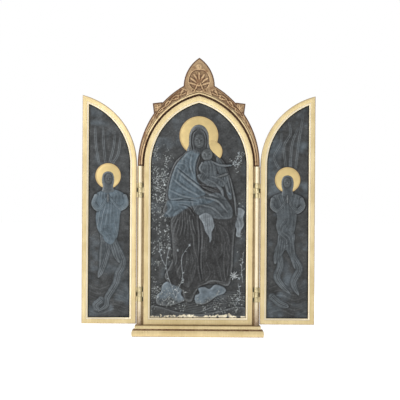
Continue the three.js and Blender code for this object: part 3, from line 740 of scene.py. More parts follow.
    def chip(self, top, tone):
        """A ragged strip along the foot where the ground shows."""
        ragged = self.y < top + 3.5 * self.cloud(9) + 2.0 * self.cloud(3.5)
        kept = self.cloud(4.5) + 0.6 * self.cloud(2.2) > -0.35
        mask = ragged & kept
        self.h = self.h - 0.2 * mask
        self.tone = np.where(mask[..., None], np.asarray(tone), self.tone)

    def wear(self):
        """Crests that stand out from their surroundings, and hollows that lie below them: the finishes rub
        the crests and give them a painted highlight, and darken the hollows.
        """
        relief = np.zeros(self.h.shape)
        for passes, fully in WEAR_AND_PAINTED_LIGHT.values():
            relief += (self.h - softened(self.h, round(passes / self.step))) / fully
        return np.clip(relief, 0, 1), np.clip(-relief, 0, 1)


def carved_piece(name, carving, inside):
    """A carving cut to its outline and closed behind at a flat back."""
    step = carving.step

    def place(column, row):
        x, y = carving.x[row, column], carving.y[row, column]
        depth = inside(x, y)
        slope_x = inside(x + 0.05, y) - inside(x - 0.05, y)
        slope_y = inside(x, y + 0.05) - inside(x, y - 0.05)
        slope = np.maximum(np.hypot(slope_x, slope_y), 1e-6)
        shift = np.where((depth < 0) & (depth > -1.6 * step), -depth, 0)
        return x + shift * slope_x / slope, y + shift * slope_y / slope, carving.h[row, column]

    obj, column, row = wrapped_grid(name, carving.columns, carving.rows, place)
    crest, hollow = carving.wear()
    set_attribute(obj, "tone", carving.tone[row, column])
    set_attribute(obj, "crest", crest[row, column])
    set_attribute(obj, "hollow", hollow[row, column])
    for mark, field in carving.marks.items():
        set_attribute(obj, mark, field[row, column])
    outside = inside(carving.x[row, column], carving.y[row, column]) < 0
    corners = np.empty(len(obj.data.polygons) * 4, np.int32)
    obj.data.polygons.foreach_get("vertices", corners)
    select_faces(obj, outside[corners].reshape(-1, 4).all(1))
    bpy.ops.mesh.delete(type="FACE")
    bpy.ops.mesh.select_all(action="SELECT")
    bpy.ops.mesh.region_to_loop()
    bpy.ops.mesh.extrude_region_move()
    behind = tuple(stand(0, 0, BACK))
    bpy.ops.transform.resize(value=(1, 0, 1), center_override=behind)
    bpy.ops.mesh.edge_face_add()
    merge_and_turn_out()
    bpy.ops.object.mode_set(mode="OBJECT")
    return obj


# ------------------------------------------------------------------ tones of the relief

TONES = {
    "ground": paint("#3f4040"),
    "mantle": paint("#525d64"),
    "mantle_shade": paint("#474c4f"),
    "skirt": paint("#353535"),
    "pale": paint("#646a6d"),
    "bright": paint("#8f9597"),
    "rock": paint("#656f76"),
    "flesh": paint("#3c3f40"),
    "leaf": paint("#7d817e"),
    "silver": paint("#b4b8b8"),
    "cloth": paint("#70767a"),
    "chip": paint("#f3e8cc"),
}

# Masses of the seated Mother and Child: outline, front, roundness, tone and crown.
CENTRE_MASSES = {
    "bank": ([(-107, 36), (-107, 66), (-80, 64), (-44, 54), (0, 49), (44, 56), (84, 66), (107, 62),
              (107, 36)], -4.6, 3.0, "ground", 0.2),
    "left_rock": ([(-90, 70), (-92, 88), (-82, 98), (-79, 112), (-66, 121), (-54, 115), (-44, 119),
                   (-34, 106), (-37, 92), (-28, 80), (-44, 71), (-66, 66)], -4.2, 4.0, "rock", 0.3),
    "right_rock": ([(-4, 72), (-7, 88), (3, 95), (0, 106), (14, 109), (26, 105), (38, 114), (54, 110),
                    (62, 103), (57, 94), (40, 87), (26, 76), (12, 70)], -4.2, 4.0, "rock", 0.3),
    "cloak": ([(-14, 424), (-31, 404), (-52, 384), (-65, 352), (-72, 318), (-72, 296), (-79, 274),
               (-66, 264), (-54, 236), (-52, 196), (-60, 160), (-74, 132), (-58, 112), (-36, 100),
               (-30, 80), (-14, 76), (-4, 96), (10, 112), (40, 116), (68, 112), (76, 150), (78, 196),
               (82, 240), (88, 276), (80, 316), (70, 350), (58, 382), (38, 402), (16, 420)],
              -4.2, 4.0, "skirt", 0.5),
    "cloak_corner": ([(76, 280), (81, 262), (77, 246), (84, 236), (83, 222), (92, 219), (95, 234),
                      (101, 246), (99, 262), (102, 276), (91, 284)], -4.5, 3.0, "cloth", 0.2),
    "shawl": ([(-12, 416), (-32, 400), (-52, 376), (-64, 342), (-68, 306), (-54, 296), (-28, 302),
               (-4, 300), (18, 312), (6, 330), (-4, 352), (-2, 384), (4, 406)],
              -3.0, 6.0, "mantle", 0.6),
    "far_sleeve": ([(40, 398), (60, 372), (70, 340), (76, 306), (66, 300), (56, 324), (46, 350),
                    (36, 376)], -3.3, 5.0, "mantle_shade", 0.3),
    "lap": ([(-20, 310), (14, 314), (46, 318), (66, 300), (78, 276), (72, 258), (44, 256), (16, 262),
             (-8, 270)], -3.0, 6.0, "mantle_shade", 0.4),
    "knee": ([(-58, 210), (-62, 246), (-58, 270), (-40, 284), (-20, 276), (-6, 250), (0, 214), (2, 170),
              (-4, 130), (-20, 104), (-40, 116), (-54, 150)], -2.8, 11.0, "skirt", 0.6),
    "skirt": ([(10, 262), (40, 254), (64, 238), (74, 206), (72, 160), (64, 120), (36, 118), (12, 120),
               (6, 160), (4, 214)], -3.5, 7.0, "skirt", 0.4),
    "hanging_cloth": ([(0, 264), (9, 248), (14, 230), (22, 218), (24, 204), (31, 212), (31, 228),
                       (37, 242), (34, 256), (30, 268), (14, 274)], -2.6, 4.0, "cloth", 0.3),
    "wrap": ([(-4, 356), (0, 344), (16, 332), (40, 326), (62, 330), (66, 342), (56, 356), (36, 360),
              (14, 362)], -2.9, 5.0, "mantle_shade", 0.3),
    "child": ([(2, 358), (2, 376), (12, 388), (28, 390), (38, 382), (42, 364), (40, 350), (20, 346)],
              -2.7, 7.0, "mantle_shade", 0.4),
    "hood": ([(0, 467), (-14, 461), (-22, 444), (-23, 422), (-27, 406), (-8, 400), (10, 400), (26, 408),
              (23, 426), (22, 446), (14, 461)], -3.2, 6.0, "mantle_shade", 0.4),
}

# Cloth that falls in pleats: the mass it belongs to, where its folds spring from, their spacing and
# height, and how much they wander.
CENTRE_PLEATS = [
    ("knee", (-30, 330), 7.5, 0.5, 0.9),
    ("skirt", (30, 420), 5.2, 0.38, 1.0),
    ("cloak", (6, 520), 5.0, 0.3, 1.2),
    ("shawl", (-150, 480), 9.0, 0.38, 1.0),
    ("lap", (-110, 420), 7.0, 0.5, 1.2),
    ("far_sleeve", (60, 480), 5.0, 0.4, 1.0),
    ("hanging_cloth", (14, 330), 6.0, 0.5, 0.6),
    ("hood", (2, 500), 5.5, 0.2, 0.6),
    ("cloak_corner", (90, 330), 6.0, 0.6, 1.4),
    ("wrap", (70, 420), 6.5, 0.55, 1.0),
    ("child", (24, 440), 5.5, 0.35, 0.8),
    ("left_rock", (-20, 240), 8.0, 0.6, 3.0),
    ("right_rock", (90, 220), 8.0, 0.6, 3.0),
]

# Folds drawn one by one: a line, half its width, its height and its tone.
CENTRE_FOLDS = [
    ([(-46, 364), (-16, 340), (14, 318), (44, 306)], 2.4, 0.9, "pale"),
    ([(-56, 346), (-30, 326), (2, 309)], 2.2, 0.7, None),
    ([(-64, 322), (-36, 309), (-6, 303)], 2.0, 0.6, None),
    ([(-30, 398), (-42, 372), (-50, 340)], 2.6, 0.5, None),
    ([(-14, 404), (-18, 376), (-10, 350)], 2.2, 0.7, "mantle"),
    ([(14, 306), (42, 298), (64, 274)], 2.2, 0.8, "pale"),
    ([(2, 290), (32, 282), (54, 262)], 2.0, 0.6, None),
    ([(-66, 296), (-60, 282), (-72, 268)], 2.0, 0.6, "mantle"),
    ([(70, 348), (79, 306), (83, 266)], 1.6, 0.7, "pale"),
    ([(86, 262), (92, 244), (90, 228)], 1.6, 0.6, None),
    ([(8, 110), (30, 122), (60, 118)], 2.0, 0.5, None),
]

CENTRE_GROOVES = [
    ([(-48, 371), (-18, 347), (12, 325), (40, 313)], 1.3, 0.8),
    ([(-58, 299), (-30, 300), (-2, 297)], 1.5, 0.9),
    ([(-4, 352), (-7, 372), (0, 398)], 1.6, 0.8),
    ([(1, 262), (5, 214), (3, 160), (9, 122)], 2.0, 1.0),
    ([(-44, 290), (-22, 285), (-6, 264)], 1.5, 0.7),
    ([(0, 332), (22, 329), (44, 321)], 1.4, 0.8),
    ([(-13, 410), (-16, 426), (-14, 446), (-4, 456)], 1.5, 0.9),
    ([(16, 412), (18, 428), (15, 446), (6, 456)], 1.5, 0.9),
]

# The Child's limbs and the hands: a line, half the width, how far it stands out and its tone.
CENTRE_LIMBS = [
    ([(30, 384), (48, 377), (66, 376)], 3.6, -2.2, "mantle_shade"),
    ([(64, 376), (72, 377)], 2.2, -2.3, "mantle"),
    ([(8, 382), (3, 368), (14, 358)], 3.8, -2.2, "mantle_shade"),
    ([(30, 352), (48, 346), (60, 333), (65, 318)], 5.2, -2.2, "mantle_shade"),
    ([(20, 345), (36, 337), (50, 323), (54, 309)], 5.0, -2.3, "mantle_shade"),
    ([(65, 318), (70, 312)], 2.8, -2.4, "mantle"),
    ([(62, 358), (50, 353), (40, 350)], 4.4, -2.1, "flesh"),
]

CENTRE_STEMS = [
    ([(-48, 80), (-56, 104), (-70, 150), (-64, 196)], 7),
    ([(-48, 80), (-44, 104), (-34, 128), (-36, 172), (-20, 200)], 7),
    ([(-70, 150), (-82, 176), (-86, 200)], 5),
    ([(84, 70), (92, 92), (88, 118)], 5),
    ([(98, 120), (96, 150), (100, 184)], 6),
    ([(72, 376), (82, 386), (90, 406)], 7),
    ([(76, 378), (86, 380), (96, 392)], 5),
]
FLOWERS = [(-19, 200), (-45, 189), (-63, 194), (-71, 149), (-33, 124), (98, 163), (90, 128), (88, 404)]

# Where colour alone changes: the mantle's own tone, painted shade in the hood round the face and beside
# the Child, and the rocks darker at their feet.
MANTLE_FALL = [(-62, 300), (-68, 278), (-76, 264), (-54, 264), (-18, 286), (20, 292), (30, 302)]
HOOD_SHADE = [(-20, 452), (-24, 420), (-10, 404), (12, 404), (24, 420), (20, 450), (0, 458)]
SHADOW_BY_CHILD = [(44, 432), (68, 412), (86, 380), (74, 358), (60, 372), (50, 398)]
ROCK_FOOT_LEFT = [(-98, 60), (-98, 88), (-78, 80), (-60, 88), (-44, 78), (-22, 84), (-22, 60)]
ROCK_FOOT_RIGHT = [(-12, 60), (-12, 76), (10, 74), (26, 84), (44, 79), (70, 88), (74, 60)]

MOTHER_HALO = (0, 441.5, 43)
CHILD_HALO = (28.2, 407, 24)
MOTHER_HEAD = (1, 430, -3.8, 12.5, 17.5, 2.9)
CHILD_HEAD = (18, 400, -3.6, 12.5, 13.5, 2.8)


def carve_face(carving, head, turn):
    """A calm, plain face, its brow, nose and mouth at the usual thirds of its height."""
    x, y, level, across, tall, deep = head
    carving.egg(x, y, across, tall, level, deep, TONES["flesh"])
    nose = [(x, y + tall * 0.18), (x + turn, y - tall * 0.18)]
    carving.ridge(nose, across * 0.13, 0.38, (0.5, 1), 0.15)
    for side in (-1, 1):
        eye = x + side * across * 0.42
        carving.groove([(eye - 2, y + tall * 0.1), (eye + 2, y + tall * 0.1)], across * 0.12, 0.3)
        temple = (eye + side * 3, y + tall * 0.2)
        brow = [(x + side * 1.5, y + tall * 0.2), (eye, y + tall * 0.27), temple]
        carving.ridge(brow, across * 0.08, 0.3, hollow=0.1)
    mouth = [(x - across * 0.22, y - tall * 0.42), (x + across * 0.22, y - tall * 0.42)]
    carving.groove(mouth, across * 0.08, 0.25)
    carving.ridge([(x - 2, y - tall * 0.54), (x + 2, y - tall * 0.54)], across * 0.1, 0.25, hollow=0.1)


STEM_LEAF = {"long": 3.0, "high": 0.7}


def carve_stem(carving, points, leaves):
    """A stem with leaves set to either side of it."""
    carving.ridge(points, 0.75, 0.6, (0.8, 0.4), 0.1, TONES["bright"], 0.45)
    line = smooth_line(points, steps=12)
    for i in range(leaves):
        k = int((i + carving.chance.uniform(0.5, 1.3)) / (leaves + 0.8) * (len(line) - 2))
        along = line[k + 1] - line[k]
        turn = math.atan2(along[1], along[0]) + (0.8 if i % 2 else -0.8) + carving.chance.normal(0, 0.25)
        long = STEM_LEAF["long"] * carving.chance.uniform(0.6, 1.5)
        carving.leaf(*line[k], long * 1.5, long * 0.33, STEM_LEAF["high"], turn, TONES["bright"], 0.8)


# Sprays, the corners of their strip and the share of silvery leaves, behind the rocks and before.
THICKETS_BEHIND = [
    (70, (-104, 300), (-62, 410), 0.3),
    (46, (-104, 180), (-62, 310), 0.2),
    (30, (-104, 70), (-46, 200), 0.15),
    (16, (78, 70), (104, 330), 0.1),
    (10, (70, 366), (98, 412), 0.3),
]
THICKETS_BEFORE = [(34, (-100, 52), (-26, 112), 0.1), (34, (-4, 50), (100, 100), 0.1)]


def carve_thicket(carving, sprays, low, high, bright):
    """Sprays of small leaves scattered over a strip of the ground."""
    chance = carving.chance
    for _ in range(sprays):
        x, y = chance.uniform(low[0], high[0]), chance.uniform(low[1], high[1])
        lean = math.pi / 2 + chance.normal(0, 0.7)
        for _ in range(chance.integers(3, 8)):
            here = x + chance.normal(0, 3.5), y + chance.normal(0, 4.5)
            long = chance.uniform(1.8, 4.6)
            tone = TONES["silver"] if chance.random() < bright else TONES["leaf"]
            turn = lean + chance.normal(0, 0.9)
            share = chance.uniform(0.15, 0.9)
            carving.leaf(*here, long, max(0.75, long * 0.3), 0.8 * share, turn, tone, share)


def carve_star(carving, x, y, size, rays=9, tone="silver"):
    for i in range(rays):
        turn = i * 2 * math.pi / rays + carving.chance.uniform(0, 0.4)
        long = size * carving.chance.uniform(0.75, 1.1)
        carving.leaf(x, y, long, max(0.7, size * 0.12), 0.9, turn, TONES[tone], 0.9)


# Unevenness of the ground and the finer grain of the whole relief.
UNEVEN = {"amount": 0.09, "scale": 7}
GRAIN = {"amount": 0.07, "scale": 3.2}


def weather(carving, patches):
    """Cloudy patches of bloom over the ground of a relief."""
    bloom = np.clip(carving.cloud(30) + 0.5 * carving.cloud(11) - 0.1, 0, 1)[..., None] * patches
    carving.tone = carving.tone * (1 - bloom) + np.asarray(TONES["rock"]) * bloom


def central_carving(step, seed):
    half = CASE["opening"] + LIP["overlap"]
    low = (-half - 1, CASE["sill"] - LIP["overlap"] - 1)
    carving = Carving(low, (half + 1, 532), step, GROUND, TONES["ground"], seed)
    carving.roughen(**UNEVEN)
    weather(carving, 0.3)
    for thicket in THICKETS_BEHIND:
        carve_thicket(carving, *thicket)
    for i in range(12):
        lift = 4.2 * i
        left = [(-104, 50 + lift), (-40 + 9 * i, 44 + 0.6 * lift)]
        right = [(40, 50 + lift), (104, 46 + 1.1 * lift)]
        carving.ridge([*left, *right], 1.1, 0.3, tone=TONES["pale"], share=0.25)
    for outline, front, edge, tone, crown in CENTRE_MASSES.values():
        carving.mass(outline, front, edge, TONES[tone], crown)
    carving.stain(MANTLE_FALL, TONES["mantle"], 4)
    # Painted shade round the face in the hood and beside the Child; the rocks' feet darken to the ground's
    # tone.
    carving.stain(HOOD_SHADE, TONES["skirt"], 6, 0.7)
    for outline in (ROCK_FOOT_LEFT, ROCK_FOOT_RIGHT):
        carving.stain(outline, TONES["ground"], 9, 0.85)
    carving.stain(SHADOW_BY_CHILD, TONES["skirt"], 9, 0.5)
    for name, source, spacing, height, wander in CENTRE_PLEATS:
        carving.pleats(CENTRE_MASSES[name][0], source, spacing, height, wander)
    for points, width, height, tone in CENTRE_FOLDS:
        carving.ridge(points, width, height, tone=TONES[tone] if tone else None, share=0.35)
    for points, width, depth in CENTRE_GROOVES:
        carving.groove(points, width, depth)
    for points, width, front, tone in CENTRE_LIMBS:
        carving.limb(points, width, front, tone=TONES[tone])
    carve_face(carving, MOTHER_HEAD, 0.6)
    carve_face(carving, CHILD_HEAD, -0.6)
    for points, leaves in CENTRE_STEMS:
        carve_stem(carving, points, leaves)
    for x, y in FLOWERS:
        carve_star(carving, x, y, 3.4, 5, "bright")
    carve_star(carving, 79, 134, 10)
    for thicket in THICKETS_BEFORE:
        carve_thicket(carving, *thicket)
    carving.roughen(**GRAIN)
    return carving


# Each angel's axis and halo height, its robe and sleeves, and the way its train and wings run.
# Distances across are measured from the axis, away from the hinge.
ANGELS = {
    "left": {
        "axis": 199.3,
        "halo": 351.8,
        "tone": "mantle",
        "robe": [(-4, 323), (-20, 321), (-37, 312), (-44, 299), (-36, 284), (-28, 270), (-26, 250),
                 (-24, 230), (-18, 208), (-7, 198), (6, 204), (15, 220), (24, 238), (27, 260), (25, 280),
                 (31, 296), (28, 311), (13, 320)],
        "sleeves": [[(-37, 307), (-40, 290), (-26, 281), (-12, 294), (-3, 306)],
                    [(26, 307), (31, 290), (20, 279), (8, 292), (2, 305)]],
        "trains": [
            [(-12, 212), (-34, 164), (-24, 138), (-18, 114), (0, 84), (3, 66), (20, 54)],
            [(-4, 206), (8, 160), (20, 128)],
            [(14, 78), (26, 66), (18, 56)],
        ],
        "pinions": [
            [(20, 380), (27, 420), (29, 462)],
            [(6, 382), (10, 420), (12, 460)],
            [(-4, 384), (-12, 416), (-15, 446)],
            [(-10, 380), (-22, 400), (-27, 438)],
        ],
    },
    "right": {
        "axis": 195.8,
        "halo": 345.4,
        # The right angel's robe and sleeves take the darker tone as painted shade: the right wing gets
        # less light than the left.
        "tone": "mantle_shade",
        "robe": [(0, 318), (-17, 316), (-33, 309), (-38, 296), (-29, 282), (-23, 262), (-25, 242),
                 (-18, 222), (-9, 206), (2, 201), (10, 214), (17, 236), (21, 262), (24, 283), (36, 294),
                 (35, 307), (19, 315)],
        "sleeves": [[(-32, 302), (-33, 287), (-21, 279), (-9, 290), (-2, 303)],
                    [(31, 302), (34, 288), (22, 277), (9, 288), (3, 302)]],
        "trains": [
            [(-6, 212), (-20, 190), (-14, 158), (-22, 132), (-10, 112), (6, 96)],
            [(0, 204), (16, 172), (27, 148), (14, 120), (26, 92)],
            [(-32, 88), (-16, 74), (4, 66)],
        ],
        "pinions": [
            [(-20, 372), (-30, 396), (-16, 424), (-14, 450)],
            [(-4, 376), (-8, 420), (6, 446), (2, 474)],
            [(6, 376), (10, 426), (24, 462)],
            [(18, 372), (24, 426), (34, 490)],
        ],
    },
}
ANGEL_HALO = 28.3

HAIR = [(0, 15), (-10, 11), (-14, 1), (-14, -10), (-12, -20), (-14, -31), (0, -36), (14, -31), (12, -20),
        (14, -10), (14, 1), (10, 11)]
HEM = [(-17, 228), (-22, 204), (-30, 176), (-27, 160), (-16, 170), (-5, 190), (4, 184), (12, 158),
       (19, 150), (19, 178), (16, 204), (15, 228)]

# Lines beside the axis of a feather, a train, with their heights, and a sleeve.
BARBS = (-1.8, 1.6)
FLOW = ((-4.2, 0.3), (-1.2, 0.42), (2.4, 0.36), (4.8, 0.26))
CREASES = (-3.0, 0.0, 2.6)


def beside(points, shift):
    """The same line moved sideways."""
    line = smooth_line(points)
    along = np.gradient(line, axis=0)
    length = np.hypot(*along.T)[:, None]
    return (line + shift * np.stack([along[:, 1], -along[:, 0]], 1) / length)[::3]


def angel_carving(name, step, seed):
    angel = ANGELS[name]
    side, axis, halo = SIDES[name], angel["axis"], angel["halo"]
    edges = sorted((side * (2 * AXIS - WING["half"]), side * 2 * AXIS))
    carving = Carving((edges[0], WING["foot"]), (edges[1], 524), step, GROUND, TONES["ground"], seed)
    carving.roughen(**UNEVEN)
    weather(carving, 0.5)

    def at(points, up=0.0):
        return [(side * (axis + x), up + y) for x, y in points]

    for line in angel["pinions"]:
        carving.ridge(at(line), 3.6, 0.35, (0.9, 0.2), 0.5, TONES["mantle_shade"], 0.3)
        for shift in BARBS:
            carving.ridge(beside(at(line), shift), 0.7, 0.26, (0.9, 0.3), 0.3, TONES["pale"], 0.2)
    for i in range(6):
        y = 50 + 11 * i
        carving.ridge(at([(-42, y), (-14, y + 9), (16, y - 2), (44, y + 7)]), 1.8, 0.2)
    for line in angel["trains"]:
        carving.limb(at(line), 8.4, -4.9, (1.0, 0.12), TONES["mantle_shade"], fall=1.2)
        for shift, height in FLOW:
            carving.ridge(beside(at(line), shift), 1.2, height, (0.9, 0.15), 0.5, TONES["pale"], 0.15)
    carving.mass(at(HEM), -4.6, 6.0, TONES["mantle_shade"], 0.3)
    carving.pleats(at(HEM), (side * axis, 300), 5.5, 0.45, 1.2, 5.0)
    carving.mass(at(angel["robe"]), -3.9, 11.0, TONES[angel["tone"]], 0.6)
    carving.pleats(at(angel["robe"]), (side * axis, 420), 6.5, 0.55, 1.6, 5.0)
    carving.mass(at(HAIR, halo - 4), -3.5, 4.0, TONES["mantle_shade"], 0.3)
    carving.pleats(at(HAIR, halo - 4), (side * axis, halo + 40), 4.0, 0.35, 0.8, 3.0)
    for line in angel["sleeves"]:
        carving.limb(at(line), 6.0, -3.0, (0.9, 0.35), TONES[angel["tone"]], fall=1.6)
        for shift in CREASES:
            carving.groove(beside(at(line), shift), 0.9, 0.28)
    carving.limb(at([(0, 296), (0, 311)]), 2.6, -2.0, tone=TONES["flesh"])
    carving.roughen(**GRAIN)
    carve_face(carving, (side * (axis - 1), halo - 6, -3.8, 8.5, 12.0, 2.4), 0.0)
    return carving


# ------------------------------------------------------------------ carved outer arch


# Margins of the carved field in the arch, and the turns at its foot and top on its two sides.
FIELD = {"inner": 5.2, "outer": 3.6, "near": (0.45, 1.22), "far": (0.38, 1.05)}


def band_point(side, t, s):
    """A point of the carved field: t runs up along it, s across it from the inner side out."""
    inner = ARCH["inner"] + LEAN + FIELD["inner"]
    outer = ARCH["outer"] + ARCH["lean"] - FIELD["outer"]
    a, b = (low + (high - low) * t for low, high in (FIELD["near"], FIELD["far"]))
    near = (-LEAN + inner * math.cos(a), SPRING + inner * math.sin(a))
    far = (-ARCH["lean"] + outer * math.cos(b), SPRING + outer * math.sin(b))
    share = (s + 1) / 2
    return side * (near[0] + (far[0] - near[0]) * share), near[1] + (far[1] - near[1]) * share


FIELD_STEPS = 14
WAVES = 3
# The arch's fillet, the groove behind it, its eased edge, its dark rim and its gilt band.
FILLET = {"wide": 3.4, "soft": 0.8}
GROOVE = {"at": 4.3, "half": 0.7, "deep": 1.1}
EASED = 1.1
RIM = {"wide": 3.6, "soft": 1.2}
GILT = {"wide": 7.0, "soft": 2.5, "start": 0.6, "foot": 400, "rise": 50}


def band_field(side):
    """Outline of the sunk field: it widens quickly at its foot and is rounded at its top."""
    shares = [i / FIELD_STEPS for i in range(FIELD_STEPS + 1)]
    edge = [(t, min(1, 3 * t, math.sqrt(max(0, 1 - t) * FIELD_STEPS))) for t in shares]
    near = [band_point(side, t, -spread) for t, spread in edge]
    far = [band_point(side, t, spread) for t, spread in edge[1:-1]]
    return near + far[::-1]


def inside_block(x, y, side):
    cx, cy = BLOCK["corner"]
    half = BLOCK["size"] / 2
    u, v = side * x - cx, y - cy
    turn = BLOCK["turn"]
    a = u * math.cos(turn) + v * math.sin(turn) + half
    b = v * math.cos(turn) - u * math.sin(turn) + half
    return half - np.maximum(np.abs(a), np.abs(b))


def inside_outer_arch(x, y):
    below = ARCH["foot"] - 10
    body = inside_arch(x, y, ARCH["outer"], ARCH["lean"], below)
    crest = inside_arch(x, y, PINNACLE["half"], PINNACLE["lean"], PINNACLE["root"], PINNACLE["spring"])
    blocks = np.maximum(inside_block(x, y, -1), inside_block(x, y, 1))
    opening = inside_arch(x, y, CASE["half"] + 0.4, LEAN, below)
    outer = np.maximum(np.maximum(body, crest), blocks)
    return np.minimum(np.minimum(outer, -opening), y - ARCH["foot"])


def arch_carving(step, seed):
    width = ARCH["outer"] + 2
    low, high = (-width, ARCH["foot"] - 2), (width, ARCH_TOP)
    carving = Carving(low, high, step, ARCH_LEVELS["face"], (0.5, 0.5, 0.5), seed)
    rim = inside_outer_arch(carving.x, carving.y)
    opening = -inside_arch(carving.x, carving.y, ARCH["inner"], LEAN, ARCH["foot"] - 10)
    for side in (-1, 1):
        loop = np.array(band_field(side))
        where = carving.near(loop, 2)
        sunk = np.clip(inside_loop(carving.x[where], carving.y[where], loop) / 0.8 + 0.5, 0, 1)
        carving.h[where] -= (ARCH_LEVELS["face"] - ARCH_LEVELS["field"]) * sunk
        stem = []
        for i in range(1, WAVES * 4 + 1):
            t = i / (WAVES * 4 + 0.6)
            stem.append(band_point(side, t, 0.45 * math.sin(2 * math.pi * WAVES * t)))
        carving.ridge(stem, 1.1, 1.8, (0.5, 0.9), 0.0)
        for i in range(1, 2 * WAVES):
            bend = -1 if i % 2 else 1
            t = (i + 0.5) / (2 * WAVES)
            curl = [(-0.07, 0.3), (-0.01, -0.4), (0.045, -0.6), (0.06, -0.1)]
            line = [band_point(side, t + along, bend * across) for along, across in curl]
            carving.ridge(line, 0.9 + 0.8 * t, 1.7, (0.4, 0.9), 0.0)
            vein = [band_point(side, t + along, bend * across * 0.5) for along, across in curl[:3]]
            carving.ridge(vein, 0.7, 1.0, hollow=0.0)
        cx, cy = BLOCK["corner"]
        half = BLOCK["size"] / 2
        turn = BLOCK["turn"]
        mx = cx - half * math.cos(turn) + half * math.sin(turn)
        my = cy - half * math.sin(turn) - half * math.cos(turn)
        carving.egg(side * mx, my, 1.9, 1.9, ARCH_LEVELS["face"] - 0.2, 1.2)
        for i in range(5):
            carving.leaf(side * mx, my, 6.4, 1.9, 1.2, (i + 0.5) * 2 * math.pi / 5)
    carve_palmette(carving)
    fillet = np.clip((FILLET["wide"] - opening) / FILLET["soft"], 0, 1)
    carving.h += (ARCH_LEVELS["fillet"] - ARCH_LEVELS["face"]) * fillet * (opening > 0)
    carving.h -= GROOVE["deep"] * np.exp(-(((opening - GROOVE["at"]) / GROOVE["half"]) ** 2))
    carving.h -= np.clip(EASED - np.where(opening < 2, EASED, rim), 0, EASED)
    carving.roughen(0.05, 2)
    carving.h = np.where(opening < 0, ARCH_LEVELS["ledge"], carving.h)
    carving.marks["rim"] = np.clip((RIM["wide"] - rim) / RIM["soft"], 0, 1)
    band = np.clip(opening / GILT["start"], 0, 1)
    band *= np.clip((GILT["wide"] - opening) / GILT["soft"], 0, 1)
    worn_through = np.clip(0.75 + 0.5 * carving.cloud(14) + 0.3 * carving.cloud(5), 0, 1)
    above = np.clip((carving.y - GILT["foot"]) / GILT["rise"], 0, 1)
    carving.marks["gilt"] = band * worn_through * above
    return carving


PALMETTE = {"root": 549.0, "boss": 593.0, "petal": 25.0, "spread": 0.47, "each": 3}
PALMETTE_FIELD = [(0, 586), (13, 583), (21, 571), (22, 557), (14, 545), (0, 540), (-14, 545), (-22, 557),
                  (-21, 571), (-13, 583)]


def carve_palmette(carving):
    """Petals fanned about a root, a boss above them, a three-cornered foot and two volutes."""
    loop = smooth_line(PALMETTE_FIELD, closed=True)
    where = carving.near(loop, 2)
    sunk = np.clip(inside_loop(carving.x[where], carving.y[where], loop) / 0.8 + 0.5, 0, 1)
    carving.h[where] -= (ARCH_LEVELS["face"] - ARCH_LEVELS["field"]) * sunk
    carving.egg(0, PALMETTE["boss"], 7.4, 7.4, ARCH_LEVELS["face"] - 0.6, 1.8)
    carving.groove([(0, PALMETTE["boss"] - 3), (0, PALMETTE["boss"] + 3)], 0.9, 0.6)
    for i in range(-PALMETTE["each"], PALMETTE["each"] + 1):
        turn = math.pi / 2 + i * PALMETTE["spread"]
        reach = PALMETTE["petal"] * (1 - 0.05 * abs(i))
        tip = (reach * math.cos(turn), PALMETTE["root"] + 5 + reach * math.sin(turn))
        middle = (tip[0] * 0.45, PALMETTE["root"] + (tip[1] - PALMETTE["root"]) * 0.6)
        carving.ridge([(0, PALMETTE["root"]), middle, tip], 2.0, 1.8, (0.3, 0.85), 0.1)
        carving.groove([(middle[0] * 0.8, middle[1]), tip], 0.7, 0.5)
    for side in (-1, 1):
        carving.ridge([(side * 2, 558), (side * 7, 546), (side * 12, 538)], 1.5, 1.9, (0.6, 0.9), 0.0)
        turns = np.linspace(0, 5, 9)
        volute = [(side * (13 + 3.4 * math.cos(a)), 541 + 3.4 * math.sin(a)) for a in turns]
        carving.ridge(volute, 0.9, 1.4, (0.9, 0.6), 0.0)


# ------------------------------------------------------------------ frames


def frame_section(stile, thick):
    """The moulded section of a frame: inset from its outer edge, depth, wear to the bole there, and the
    painted highlight along the bevel and cove by the opening.
    """
    cove = []
    for i in range(7):
        turn = math.pi / 2 * i / 6
        cove.append((stile - COVE * math.cos(turn), -COVE * math.sin(turn), 0.0, 1.0 - 0.12 * i))
    return [
        (0.0, -thick, 1.0, 0.0),
        (0.0, -2.4, 0.9, 0.0),
        (0.0, -EDGE, 0.9, 0.0),
        (0.35, -0.45, 0.8, 0.0),
        (EDGE, 0.0, 0.5, 0.1),
        (EDGE + 0.9, 0.0, 0.08, 0.0),
        (stile - COVE - 1.7, 0.0, 0.0, 0.0),
        (stile - COVE - 1.2, -0.3, 0.7, 0.0),
        (stile - COVE - 0.8, 0.0, 0.0, 0.8),
        *cove,
        (stile, -COVE - 0.5, 0.6, 0.0),
        (stile, -LIP["thick"], 1.0, 0.0),
        (stile - LIP["overlap"], -LIP["thick"], 1.0, 0.0),
        (stile - LIP["overlap"], -thick, 1.0, 0.0),
    ]


def moulded_frame(name, outline, stile, thick):
    """A frame whose section runs round an outline; outline(inset) gives its points."""
    section = np.array(frame_section(stile, thick))
    rings = np.array([outline(inset) for inset in section[:, 0]])
    columns, rows = rings.shape[1], len(section)

    def place(column, row):
        ring, point = row % rows, column % columns
        return rings[ring, point, 0], rings[ring, point, 1], section[ring, 1]

    obj, _, row = wrapped_grid(name, columns, rows, place)
    set_attribute(obj, "rim", section[row % rows, 2])
    # The painted highlight of each ring of the section, brightest in the cove.
    set_attribute(obj, "rub", section[row % rows, 3])
    select_faces(obj, np.ones(len(obj.data.polygons), bool))
    merge_and_turn_out()
    bpy.ops.object.mode_set(mode="OBJECT")
    return obj


def case_outline(inset):
    steps = bpy.context.scene.altarpiece_sizes.arc_steps
    share = inset / (CASE["half"] - CASE["opening"])
    floor = CASE["foot"] + (CASE["sill"] - CASE["foot"]) * share
    return arch_points(CASE["half"] - inset, LEAN, floor, steps)


